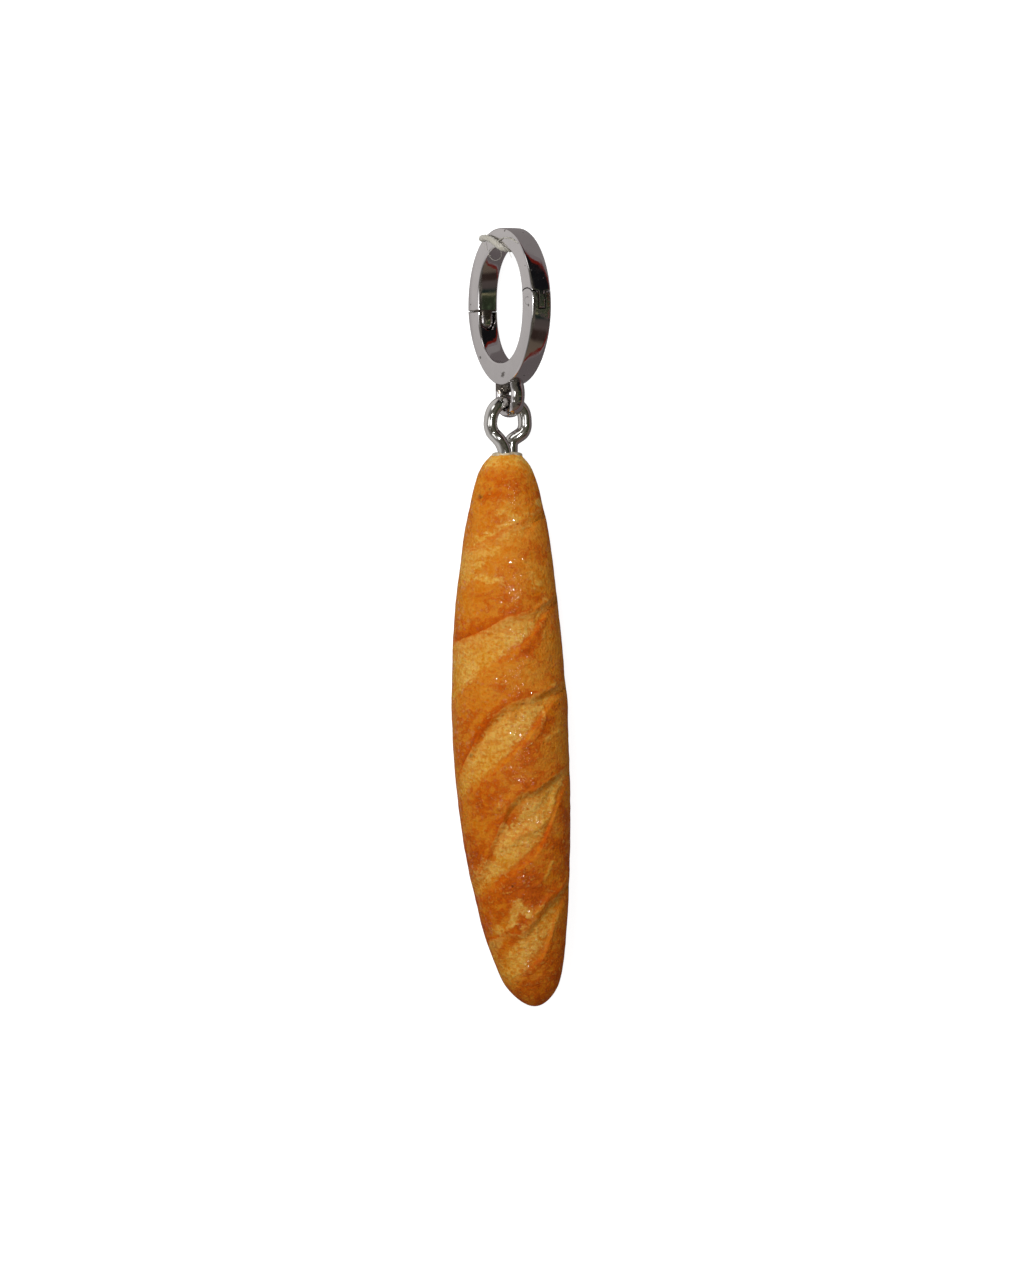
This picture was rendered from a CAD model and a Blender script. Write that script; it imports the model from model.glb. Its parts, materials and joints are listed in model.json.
"""Baguette charm: a scored clay loaf on a wire eye, hung from a hinged oval clasp.

The makers below work in millimetres, in the frame of the part: +Z up, +Y from the loaf towards
the clasp. Each finished mesh is stored in metres, with its place in its vertices.
"""

from __future__ import annotations

import json
import logging
import math
from contextlib import contextmanager
from dataclasses import dataclass, field
from enum import Enum
from typing import Any, Iterable, Iterator, Sequence

import bmesh
import bpy
import numpy as np
from mathutils import Matrix, Vector

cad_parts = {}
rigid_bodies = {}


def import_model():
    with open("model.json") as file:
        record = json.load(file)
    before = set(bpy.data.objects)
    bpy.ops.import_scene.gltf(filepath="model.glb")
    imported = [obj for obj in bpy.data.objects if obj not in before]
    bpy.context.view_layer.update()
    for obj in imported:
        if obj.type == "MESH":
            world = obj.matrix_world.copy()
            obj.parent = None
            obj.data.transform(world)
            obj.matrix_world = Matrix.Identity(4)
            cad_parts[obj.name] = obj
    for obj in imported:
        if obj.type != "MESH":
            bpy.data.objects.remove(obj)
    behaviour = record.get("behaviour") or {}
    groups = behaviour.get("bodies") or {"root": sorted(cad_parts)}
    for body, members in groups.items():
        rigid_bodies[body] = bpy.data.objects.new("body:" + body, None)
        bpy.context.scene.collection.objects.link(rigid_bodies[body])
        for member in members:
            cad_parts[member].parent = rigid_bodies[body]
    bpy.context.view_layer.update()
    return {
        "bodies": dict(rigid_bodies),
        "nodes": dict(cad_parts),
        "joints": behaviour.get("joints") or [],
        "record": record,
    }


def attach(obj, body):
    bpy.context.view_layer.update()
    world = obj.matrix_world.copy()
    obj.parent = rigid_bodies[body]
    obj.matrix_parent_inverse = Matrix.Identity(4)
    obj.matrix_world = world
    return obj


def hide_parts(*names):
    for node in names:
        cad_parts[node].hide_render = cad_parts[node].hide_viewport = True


LOG = logging.getLogger("baguette_charm")
MM = 0.001

Array = np.ndarray
Colour = tuple[float, float, float]
Point = tuple[float, float]
Place = tuple[float, float, float]
Spot = tuple[Place, float]
Table = tuple[Point, ...]


# ---- smooth numbers


def smooth_step(low: float, high: float, value: Array) -> Array:
    """Ease from 0 at low to 1 at high."""
    t = np.clip((value - low) / (high - low), 0.0, 1.0)
    return t * t * (3.0 - 2.0 * t)


def through(table: Iterable[Point], place: Array) -> Array:
    """Read a smooth curve that goes through a table.

    Args:
        table: (place, value) rows in any order.
        place: Where the curve is read.

    Returns:
        The curve's values there.
    """
    x, y = np.array(sorted(table), float).T
    slope = np.empty_like(y)
    slope[1:-1] = (y[2:] - y[:-2]) / (x[2:] - x[:-2])
    slope[0] = (y[1] - y[0]) / (x[1] - x[0])
    slope[-1] = (y[-1] - y[-2]) / (x[-1] - x[-2])
    i = np.clip(np.searchsorted(x, place) - 1, 0, len(x) - 2)
    span = x[i + 1] - x[i]
    t = np.clip((place - x[i]) / span, 0.0, 1.0)
    return (
        (2 * t**3 - 3 * t**2 + 1) * y[i]
        + (t**3 - 2 * t**2 + t) * span * slope[i]
        + (3 * t**2 - 2 * t**3) * y[i + 1]
        + (t**3 - t**2) * span * slope[i + 1]
    )


def squared(value: Array, power: Array | float) -> Array:
    """Cosine or sine made squarer: a power of 2 leaves it round, and more makes it squarer."""
    return np.sign(value) * np.abs(value) ** (2.0 / power)


def lattice(corner: Array, seed: int) -> Array:
    """Draw one random number from -1 to 1 for each corner of a lattice.

    Args:
        corner: Whole-numbered corners, one row each.
        seed: Number of the draw.

    Returns:
        One number for each row.
    """
    x, y, z = corner.astype(np.int64).astype(np.uint32).T
    mixed = x * np.uint32(374761393) + y * np.uint32(668265263) + z * np.uint32(2246822519)
    mixed = mixed + np.uint32(seed * 3266489917 % 2**32)
    mixed = (mixed ^ (mixed >> np.uint32(15))) * np.uint32(2654435761)
    mixed = (mixed ^ (mixed >> np.uint32(13))) * np.uint32(1274126177)
    mixed = mixed ^ (mixed >> np.uint32(16))
    return mixed.astype(float) / 2.0**31 - 1.0


def cloud(points: Array, grain: float, seed: int, layers: int = 1) -> Array:
    """Read a smooth random field.

    Args:
        points: Places, one row of three numbers each.
        grain: Size of the field's blobs, in the points' units.
        seed: Number of the field.
        layers: Layers of finer blobs, each half as large and half as strong.

    Returns:
        A number from about -1 to 1 for each place.
    """
    total = np.zeros(len(points))
    for layer in range(layers):
        scaled = points * (2.0**layer / grain)
        base = np.floor(scaled)
        part = scaled - base
        ease = part**3 * (part * (part * 6 - 15) + 10)
        value = np.zeros(len(points))
        for corner in np.ndindex(2, 2, 2):
            step = np.array(corner)
            weight = np.prod(np.where(step == 1, ease, 1.0 - ease), axis=1)
            value += weight * lattice(base + step, seed + 31 * layer)
        total += value * 0.5**layer
    return total


def line_distance(points: Array, line: Sequence[Point]) -> tuple[Array, Array]:
    """Measure from points of a plane to a broken line.

    Args:
        points: Points, one row of two numbers each.
        line: Corners of the line.

    Returns:
        The distance of each point, and how far along the line its nearest place is, from 0 to 1.
    """
    corners = np.array(line, float)
    if len(corners) == 1:
        return np.linalg.norm(points - corners[0], axis=1), np.full(len(points), 0.5)
    lengths = np.linalg.norm(np.diff(corners, axis=0), axis=1)
    before = np.concatenate([[0.0], np.cumsum(lengths)])
    best = np.full(len(points), np.inf)
    along = np.zeros(len(points))
    for i, length in enumerate(lengths):
        way = (corners[i + 1] - corners[i]) / length
        offset = points - corners[i]
        t = np.clip(offset @ way, 0.0, length)
        gap = np.linalg.norm(offset - t[:, None] * way, axis=1)
        nearer = gap < best
        best = np.where(nearer, gap, best)
        along = np.where(nearer, (before[i] + t) / before[-1], along)
    return best, along


# ---- mesh helpers


def new_object(name: str, data: bpy.types.ID) -> bpy.types.Object:
    """Put a mesh, a lamp or a camera in the scene.

    Args:
        name: Name of the new object.
        data: Its mesh, lamp or camera.

    Returns:
        The object, at the origin.
    """
    thing = bpy.data.objects.new(name, data)
    bpy.context.scene.collection.objects.link(thing)
    return thing


@contextmanager
def reworked(mesh: bpy.types.Mesh) -> Iterator[bmesh.types.BMesh]:
    """Open a mesh for editing and store it again at the end.

    Args:
        mesh: The mesh, which is changed in place.

    Yields:
        The mesh in its editable form.
    """
    work = bmesh.new()
    work.from_mesh(mesh)
    yield work
    work.to_mesh(mesh)
    work.free()


def turns(count: int) -> Array:
    """Evenly spaced angles once round a circle, in radians."""
    return 2 * np.pi * np.arange(count) / count


def placed(points: Array, frame: Matrix) -> Array:
    """Bring points from a frame, in millimetres, to the part's frame, in metres."""
    return (points @ np.array(frame.to_3x3()).T + np.array(frame.translation)) * MM


def store(mesh: bpy.types.Mesh, name: str, values: Array) -> None:
    """Store one number for each point of a mesh, which its finish reads."""
    attribute = mesh.attributes.new(name, "FLOAT", "POINT")
    attribute.data.foreach_set("value", values.astype(np.float32))


def grid_faces(rows: int, columns: int, first: int = 0) -> Array:
    """Number the four-sided faces of a grid whose columns close on themselves.

    Args:
        rows: Number of rows.
        columns: Points in a row.
        first: Number of the grid's first point.

    Returns:
        One row of four point numbers for each face.
    """
    r, c = np.meshgrid(np.arange(rows - 1), np.arange(columns), indexing="ij")
    after = (c + 1) % columns
    corners = (r * columns + c, r * columns + after, (r + 1) * columns + after, (r + 1) * columns + c)
    return first + np.stack([k.ravel() for k in corners], axis=1)


def tube_mesh(name: str, rows: Array, start: Array | None, end: Array | None) -> bpy.types.Mesh:
    """Make a closed skin from rows of points that each go round it.

    Args:
        name: Name of the mesh.
        rows: Points, shaped (rows, columns, 3).
        start: Middle of the cap at the first row, or None where the last row joins the first.
        end: Middle of the cap at the last row, or None with it.

    Returns:
        The mesh, with its faces pointing outwards.
    """
    count, columns, _ = rows.shape
    points = rows.reshape(-1, 3)
    if start is None:
        faces = (grid_faces(count + 1, columns) % (count * columns)).tolist()
    else:
        points = np.concatenate([points, [start, end]])
        faces = grid_faces(count, columns).tolist()
        last = (count - 1) * columns
        for c in range(columns):
            after = (c + 1) % columns
            faces.append((len(points) - 2, after, c))
            faces.append((len(points) - 1, last + c, last + after))
    mesh = bpy.data.meshes.new(name)
    mesh.from_pydata(points.tolist(), [], faces)
    with reworked(mesh) as work:
        bmesh.ops.recalc_face_normals(work, faces=work.faces)
    return mesh


def evaluated(thing: bpy.types.Object, name: str) -> bpy.types.Mesh:
    """Turn an object with modifiers into a plain mesh.

    Args:
        thing: The object. It is removed.
        name: Name of the new mesh.

    Returns:
        What the modifiers make of it.
    """
    bpy.context.view_layer.update()
    graph = bpy.context.evaluated_depsgraph_get()
    mesh = bpy.data.meshes.new_from_object(thing.evaluated_get(graph), depsgraph=graph)
    mesh.name = name
    bpy.data.objects.remove(thing)
    return mesh


def combine(base: bpy.types.Mesh, tool: bpy.types.Mesh, operation: str) -> bpy.types.Mesh:
    """Cut, join or intersect two closed meshes.

    Args:
        base: The mesh that is worked on.
        tool: The mesh it is worked with.
        operation: DIFFERENCE, UNION or INTERSECT.

    Returns:
        The new mesh.
    """
    worked, other = new_object("worked", base), new_object("other", tool)
    modifier = worked.modifiers.new("combine", "BOOLEAN")
    modifier.operation = operation
    modifier.solver = "EXACT"
    modifier.object = other
    mesh = evaluated(worked, base.name)
    bpy.data.objects.remove(other)
    return mesh


def prism(outline: Array, low: float, high: float) -> bpy.types.Mesh:
    """Extrude an outline along Z.

    Args:
        outline: Its corners in the XY plane, counterclockwise.
        low: Lower level.
        high: Upper level.

    Returns:
        The closed mesh.
    """
    count = len(outline)
    points = [(x, y, z) for z in (low, high) for x, y in outline]
    faces = [tuple(reversed(range(count))), tuple(range(count, 2 * count))]
    faces += [(i, (i + 1) % count, count + (i + 1) % count, count + i) for i in range(count)]
    mesh = bpy.data.meshes.new("prism")
    mesh.from_pydata(points, [], faces)
    return mesh


def disc(centre: Point, radius: float, low: float, high: float, sides: int = 96) -> bpy.types.Mesh:
    """Round bar along Z.

    Args:
        centre: Its middle in the XY plane.
        radius: Its radius.
        low: Lower level.
        high: Upper level.
        sides: Number of sides.

    Returns:
        The closed mesh.
    """
    a = 2 * np.pi * (np.arange(sides) + 0.5) / sides
    outline = np.stack([centre[0] + radius * np.cos(a), centre[1] + radius * np.sin(a)], axis=1)
    return prism(outline, low, high)


def shade(mesh: bpy.types.Mesh, crease_degrees: float) -> None:
    """Shade a mesh smooth, with its edges sharp where they turn by more than an angle."""
    mesh.shade_smooth()
    mesh.set_sharp_from_angle(angle=math.radians(crease_degrees))


# ---- node helpers


def feed(tree: bpy.types.NodeTree, node: Any, inputs: dict[str | int, Any]) -> None:
    """Set or wire inputs of a node.

    Args:
        tree: The node's tree.
        node: The node.
        inputs: A value or an output socket for each named or numbered input.
    """
    for key, value in inputs.items():
        if isinstance(value, bpy.types.NodeSocket):
            tree.links.new(value, node.inputs[key])
        else:
            node.inputs[key].default_value = value


def put(
    tree: bpy.types.NodeTree, kind: str, inputs: dict[str | int, Any] | None = None, **settings: Any
) -> Any:
    """Add a node, set it up and wire it.

    Args:
        tree: Tree that takes the node.
        kind: Type of the node.
        inputs: A value or an output socket for each named or numbered input.
        settings: Values of the node's own properties.

    Returns:
        The node.
    """
    node = tree.nodes.new(kind)
    for name, value in settings.items():
        setattr(node, name, value)
    feed(tree, node, inputs or {})
    return node


def maths(tree: bpy.types.NodeTree, operation: str, *values: Any, clamp: bool = False) -> Any:
    """Output of a Math node."""
    inputs = dict(enumerate(values))
    return put(tree, "ShaderNodeMath", inputs, operation=operation, use_clamp=clamp).outputs[0]


def varied(tree: bpy.types.NodeTree, base: Any, pattern: Any, amount: float) -> Any:
    """Raise and lower a value by a pattern."""
    return maths(tree, "MULTIPLY_ADD", maths(tree, "SUBTRACT", pattern, 0.5), amount, base)


def bumped(tree: bpy.types.NodeTree, strength: float, depth: float, height: Any) -> Any:
    """Output of a Bump node."""
    inputs = {"Strength": strength, "Distance": depth * MM, "Height": height}
    return put(tree, "ShaderNodeBump", inputs).outputs[0]


def either(tree: bpy.types.NodeTree, share: Any, first: Any, second: Any) -> Any:
    """Mix Shader node."""
    return put(tree, "ShaderNodeMixShader", {0: share, 1: first.outputs[0], 2: second.outputs[0]})


def blended(tree: bpy.types.NodeTree, share: Any, first: Any, second: Any) -> Any:
    """Output of a colour Mix node.

    Args:
        tree: Tree that takes the node.
        share: How much of the second colour there is.
        first: Colour or output socket.
        second: Colour or output socket.

    Returns:
        The output socket.
    """
    colours = [(*c, 1.0) if isinstance(c, tuple) and len(c) == 3 else c for c in (first, second)]
    inputs = {0: share, 6: colours[0], 7: colours[1]}
    return put(tree, "ShaderNodeMix", inputs, data_type="RGBA").outputs[2]


def ranged(
    tree: bpy.types.NodeTree, value: Any, low: float, high: float, to_low: float = 0.0, to_high: float = 1.0
) -> Any:
    """Output of a smooth Map Range node."""
    inputs = {0: value, 1: low, 2: high, 3: to_low, 4: to_high}
    return put(tree, "ShaderNodeMapRange", inputs, interpolation_type="SMOOTHSTEP").outputs[0]


class SharedEffects:
    """Shader node groups that more than one finish uses."""

    def __init__(self) -> None:
        """Build each group once."""
        self.mottle = self._make_mottle()
        self.spots = self._make_spots()

    @staticmethod
    def _group(name: str, inputs: dict[str, float], outputs: Sequence[str]) -> tuple[Any, Any, Any]:
        """Start a group with a Vector input.

        Args:
            name: Name of the group.
            inputs: Its number inputs with their usual values.
            outputs: Its number outputs.

        Returns:
            The tree, its input node and its output node.
        """
        tree = bpy.data.node_groups.new(name, "ShaderNodeTree")
        tree.interface.new_socket("Vector", in_out="INPUT", socket_type="NodeSocketVector")
        for label, value in inputs.items():
            socket = tree.interface.new_socket(label, in_out="INPUT", socket_type="NodeSocketFloat")
            socket.default_value = value
        for label in outputs:
            tree.interface.new_socket(label, in_out="OUTPUT", socket_type="NodeSocketFloat")
        return tree, tree.nodes.new("NodeGroupInput"), tree.nodes.new("NodeGroupOutput")

    def _make_mottle(self) -> bpy.types.NodeTree:
        """Make cloudy patches from 0 to 1.

        Returns:
            The group. Its Size is in metres, and its Contrast sharpens the patches.
        """
        tree, given, result = self._group("mottle", {"Size": 0.001, "Contrast": 1.0}, ["Mask"])
        scale = maths(tree, "DIVIDE", 1.0, given.outputs["Size"])
        inputs = {"Vector": given.outputs["Vector"], "Scale": scale, "Detail": 3.0, "Roughness": 0.55}
        noise = put(tree, "ShaderNodeTexNoise", inputs)
        centred = maths(tree, "SUBTRACT", noise.outputs[0], 0.5)
        spread = maths(tree, "MULTIPLY", centred, maths(tree, "MULTIPLY", given.outputs["Contrast"], 2.4))
        tree.links.new(maths(tree, "ADD", spread, 0.5, clamp=True), result.inputs["Mask"])
        return tree

    def _make_spots(self) -> bpy.types.NodeTree:
        """Make small round spots.

        Returns:
            The group. Its Size is their spacing in metres, its Cover their reach from 0 to 1, and
            its Share how many of the places have one.
        """
        tree, given, result = self._group("spots", {"Size": 0.001, "Cover": 0.3, "Share": 1.0}, ["Mask"])
        scale = maths(tree, "DIVIDE", 1.0, given.outputs["Size"])
        cells = put(tree, "ShaderNodeTexVoronoi", {"Vector": given.outputs["Vector"], "Scale": scale})
        far = maths(tree, "DIVIDE", cells.outputs["Distance"], given.outputs["Cover"])
        near = maths(tree, "SUBTRACT", 1.0, far, clamp=True)
        soft = maths(tree, "SMOOTH_MIN", maths(tree, "MULTIPLY", near, 2.5), 1.0, 0.3)
        parts = put(tree, "ShaderNodeSeparateColor", {0: cells.outputs["Color"]})
        kept = maths(tree, "LESS_THAN", parts.outputs[0], given.outputs["Share"])
        tree.links.new(maths(tree, "MULTIPLY", soft, kept, clamp=True), result.inputs["Mask"])
        return tree

    def use(self, tree: bpy.types.NodeTree, group: bpy.types.NodeTree, vector: Any, **values: float) -> Any:
        """Place a group in a material."""
        return put(tree, "ShaderNodeGroup", {"Vector": vector, **values}, node_tree=group).outputs["Mask"]


def new_material(name: str) -> tuple[bpy.types.Material, Any, Any, Any]:
    """Start a material.

    Args:
        name: Name of the material.

    Returns:
        The material, its tree, its Principled shader and the socket of its Object coordinates.
    """
    material = bpy.data.materials.new(name)
    material.use_nodes = True
    tree = material.node_tree
    tree.nodes.clear()
    shader = tree.nodes.new("ShaderNodeBsdfPrincipled")
    put(tree, "ShaderNodeOutputMaterial", {"Surface": shader.outputs[0]})
    place = tree.nodes.new("ShaderNodeTexCoord").outputs["Object"]
    return material, tree, shader, place


# ---- finishes


@dataclass(frozen=True)
class ClayFinish:
    """Baked clay, brushed orange brown on the crust and pale gold in the scores, under varnish.

    The mesh carries its painting in four attributes: opening, toasted, crease and scorch. Sizes,
    pitches, heights and depths are in millimetres, and the slant of the brush is in degrees.
    """

    name: str = "baked_clay"
    crust: Colour = (0.55, 0.140, 0.001)
    crust_light: Colour = (0.64, 0.275, 0.030)
    toasted: Colour = (0.50, 0.092, 0.001)
    burnished: Colour = (0.40, 0.064, 0.001)
    opening: Colour = (0.60, 0.225, 0.007)
    opening_light: Colour = (0.71, 0.415, 0.085)
    crease: Colour = (0.58, 0.085, 0.001)
    scorch: Colour = (0.07, 0.022, 0.006)
    patch_size: float = 2.6
    mottle_size: float = 0.75
    grain_size: float = 0.28
    pore_pitch: float = 0.42
    fleck_pitch: float = 1.9
    streak_size: float = 0.42
    streak_scale: Place = (0.35, 1.0, 0.6)
    slant: float = 35.0
    roughness: Point = (0.45, 0.62)
    specular: float = 0.04
    bump_height: float = 0.055
    coat: float = 0.05
    drops: float = 0.93
    drop_chance: Point = (0.72, 0.75)
    coat_roughness: float = 0.09
    bead_pitch: float = 0.42
    bead_reach: float = 0.45
    bead_height: float = 0.026
    translucency: float = 0.3
    glow_depth: Place = (0.40, 0.16, 0.06)

    def material(self, shared: SharedEffects) -> bpy.types.Material:
        """Build the material.

        Args:
            shared: The shared shader groups.

        Returns:
            The material.
        """
        material, tree, shader, place = new_material(self.name)

        def painted(name: str) -> Any:
            """Socket of one of the painted attributes."""
            return put(tree, "ShaderNodeAttribute", attribute_name=name).outputs["Fac"]

        broad = shared.use(tree, shared.mottle, place, Size=self.patch_size * MM, Contrast=1.5)
        fine = shared.use(tree, shared.mottle, place, Size=self.mottle_size * MM, Contrast=1.8)
        grain = shared.use(tree, shared.mottle, place, Size=self.grain_size * MM, Contrast=1.6)
        pores = shared.use(tree, shared.spots, place, Size=self.pore_pitch * MM, Cover=0.34, Share=0.5)
        flecks = shared.use(tree, shared.spots, place, Size=self.fleck_pitch * MM, Cover=0.075, Share=0.4)
        turn = (0.0, 0.0, math.radians(-self.slant))
        brush = {"Vector": place, "Rotation": turn, "Scale": self.streak_scale}
        slanted = put(tree, "ShaderNodeMapping", brush).outputs[0]
        streaks = shared.use(tree, shared.mottle, slanted, Size=self.streak_size * MM, Contrast=1.6)

        # Where the crust is open and where it is toasted, both with ragged edges.
        ragged = varied(tree, 0.0, fine, 0.4)
        ragged = varied(tree, ragged, streaks, 0.45)
        ragged = varied(tree, ragged, grain, 0.35)
        opening = ranged(tree, maths(tree, "ADD", painted("opening"), ragged), 0.15, 0.85)
        toasted = varied(tree, painted("toasted"), broad, 0.8)
        toasted = varied(tree, toasted, fine, 0.5)
        ragged_toast = maths(tree, "ADD", toasted, ragged)
        toasted = ranged(tree, ragged_toast, 0.1, 0.9)

        # The crust's colour, the openings over it, then pores, creases and scorched specks.
        pale = maths(tree, "MULTIPLY_ADD", grain, 0.38, maths(tree, "MULTIPLY", fine, 0.57))
        crust = blended(tree, pale, self.crust, self.crust_light)
        crust = blended(tree, maths(tree, "MULTIPLY", toasted, 0.95), crust, self.toasted)
        crust = blended(tree, ranged(tree, ragged_toast, 0.85, 1.5), crust, self.burnished)
        soft = maths(tree, "MULTIPLY_ADD", grain, 0.6, maths(tree, "MULTIPLY", broad, 0.45))
        crumb = blended(tree, soft, self.opening, self.opening_light)
        brushed = maths(tree, "MULTIPLY", ranged(tree, streaks, 0.4, 1.0), 0.5)
        crumb = blended(tree, brushed, crumb, self.crust)
        colour = blended(tree, opening, crust, crumb)
        colour = blended(tree, maths(tree, "MULTIPLY", pores, 0.3), colour, self.toasted)
        colour = blended(tree, maths(tree, "MULTIPLY", painted("crease"), 0.7), colour, self.crease)
        burnt = maths(tree, "MAXIMUM", maths(tree, "MULTIPLY", flecks, 0.6), painted("scorch"))
        colour = blended(tree, burnt, colour, self.scorch)

        # Beads of varnish. Only some of them shine, and none in the creases.
        pitch = 1.0 / (self.bead_pitch * MM)
        beads = put(tree, "ShaderNodeTexVoronoi", {"Vector": place, "Scale": pitch})
        far = maths(tree, "DIVIDE", beads.outputs["Distance"], self.bead_reach)
        dome = maths(tree, "SUBTRACT", 1.0, maths(tree, "MULTIPLY", far, far), clamp=True)
        chance = put(tree, "ShaderNodeSeparateColor", {0: beads.outputs["Color"]}).outputs[0]
        shining = ranged(tree, chance, *self.drop_chance)
        drops = maths(tree, "MULTIPLY", shining, ranged(tree, dome, 0.0, 0.25))
        uncreased = ranged(tree, painted("crease"), 0.16, 0.02)
        wet = maths(tree, "MULTIPLY", ranged(tree, broad, 0.3, 0.5), uncreased)
        wet = maths(tree, "MULTIPLY", wet, ranged(tree, toasted, 0.95, 0.55, 0.5, 1.0))
        film = maths(tree, "MULTIPLY_ADD", drops, self.drops, self.coat)

        height = maths(tree, "MULTIPLY_ADD", pores, -0.6, grain)
        height = maths(tree, "MULTIPLY_ADD", fine, 0.8, height)
        swell = maths(tree, "MULTIPLY_ADD", fine, 1.2, dome)
        feed(tree, shader, {
            "Base Color": colour,
            "Roughness": ranged(tree, fine, 0.0, 1.0, *self.roughness),
            "Specular IOR Level": self.specular,
            "Coat Weight": maths(tree, "MULTIPLY", wet, film),
            "Coat Roughness": self.coat_roughness,
            "Subsurface Weight": self.translucency,
            "Subsurface Radius": self.glow_depth,
            "Subsurface Scale": 1.0 * MM,
            "Normal": bumped(tree, 0.65, self.bump_height, height),
            "Coat Normal": bumped(tree, 1.0, self.bead_height, swell),
        })
        return material


@dataclass(frozen=True)
class MetalFinish:
    """Polished plated metal with fine pits, faint haze, specks of dirt and dull solder.

    A mesh can carry the attribute dull, which says where it is rough and dark. Each speck, and the
    spot that was filed by hand, is given by its place and its radius, in millimetres in the part's
    frame. The size of the pits is in millimetres too.
    """

    name: str
    colour: Colour
    haze: Colour
    roughness: Point
    pit_size: float
    pit_share: float
    bump: float
    specks: tuple[Spot, ...] = ()
    filed: Spot = ((0.0, 0.0, 0.0), 0.0)
    filing_depth: float = 30.0
    solder_depth: float = 14.0
    pit: Colour = (0.05, 0.045, 0.04)
    dirt: Colour = (0.06, 0.05, 0.035)
    solder: Colour = (0.16, 0.14, 0.12)
    crevice: Colour = (0.012, 0.010, 0.008)

    def material(self, shared: SharedEffects) -> bpy.types.Material:
        """Build the material.

        Args:
            shared: The shared shader groups.

        Returns:
            The material.
        """
        material, tree, shader, place = new_material(self.name)

        def away_from(centre: Place) -> Any:
            """Socket of the distance from a place."""
            inputs = {0: place, 1: Vector(centre) * MM}
            return put(tree, "ShaderNodeVectorMath", inputs, operation="DISTANCE").outputs["Value"]

        cloudy = shared.use(tree, shared.mottle, place, Size=1.1 * MM, Contrast=1.2)
        fine = shared.use(tree, shared.mottle, place, Size=0.3 * MM, Contrast=1.4)
        spread = {"Size": self.pit_size * MM, "Cover": 0.12, "Share": self.pit_share}
        pits = shared.use(tree, shared.spots, place, **spread)
        colour = blended(tree, maths(tree, "MULTIPLY", cloudy, 0.35), self.colour, self.haze)
        colour = blended(tree, maths(tree, "MULTIPLY", pits, 0.85), colour, self.pit)
        for centre, radius in self.specks:
            torn = maths(tree, "MULTIPLY_ADD", fine, -0.9 * radius * MM, away_from(centre))
            speck = ranged(tree, torn, 0.7 * radius * MM, 0.1 * radius * MM, 0.0, 0.75)
            colour = blended(tree, speck, colour, self.dirt)
        painted = put(tree, "ShaderNodeAttribute", attribute_name="dull").outputs["Fac"]
        dull = ranged(tree, maths(tree, "MULTIPLY_ADD", fine, 0.5, painted), 0.5, 0.8)
        colour = blended(tree, dull, colour, self.solder)
        hidden = put(tree, "ShaderNodeAmbientOcclusion", {"Distance": 0.16 * MM}, samples=6).outputs["AO"]
        colour = blended(tree, ranged(tree, hidden, 0.62, 0.2), colour, self.crevice)

        rough = ranged(tree, cloudy, 0.2, 0.9, *self.roughness)
        rough = maths(tree, "MULTIPLY_ADD", pits, 0.4, rough)
        rough = maths(tree, "MULTIPLY_ADD", dull, 0.2, rough)
        height = maths(tree, "MULTIPLY_ADD", pits, -1.5, maths(tree, "MULTIPLY_ADD", fine, 0.4, cloudy))
        lumps = maths(tree, "MULTIPLY", dull, fine)
        height = maths(tree, "MULTIPLY_ADD", lumps, self.solder_depth, height)
        centre, reach = self.filed
        if reach > 0:
            worn = ranged(tree, away_from(centre), reach * MM, 0.7 * reach * MM)
            marks = maths(tree, "MULTIPLY", worn, fine)
            height = maths(tree, "MULTIPLY_ADD", marks, self.filing_depth, height)
        feed(tree, shader, {
            "Base Color": colour,
            "Metallic": 1.0,
            "Roughness": rough,
            "Normal": bumped(tree, self.bump, 0.01, height),
        })
        return material


# Specks of dirt on the clasp, and the spot of it that was filed by hand.
DIRT: tuple[Spot, ...] = (
    ((-0.69, 22.1, 6.03), 0.34), ((-2.74, 23.66, 2.88), 0.12), ((1.58, 29.02, 9.53), 0.1),
    ((1.63, 28.30, 9.6), 0.12), ((1.33, 31.88, 9.14), 0.07), ((-0.52, 35.15, 6.3), 0.12),
    ((1.16, 34.9, 6.47), 0.09),
)
FILED: Spot = ((3.5, 28.45, 9.2), 1.5)

PLATED_CLASP = MetalFinish(
    name="plated_clasp", colour=(0.66, 0.635, 0.635), haze=(0.58, 0.56, 0.555), roughness=(0.05, 0.12),
    pit_size=0.9, pit_share=0.45, bump=0.1, specks=DIRT, filed=FILED,
)
BRIGHT_WIRE = MetalFinish(
    name="bright_wire", colour=(0.74, 0.73, 0.70), haze=(0.62, 0.60, 0.56), roughness=(0.06, 0.16),
    pit_size=0.7, pit_share=0.4, bump=0.35,
)
HINGE_STEEL = MetalFinish(
    name="hinge_steel", colour=(0.66, 0.635, 0.635), haze=(0.58, 0.56, 0.555), roughness=(0.06, 0.14),
    pit_size=0.7, pit_share=0.5, bump=0.1, specks=DIRT,
)


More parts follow.
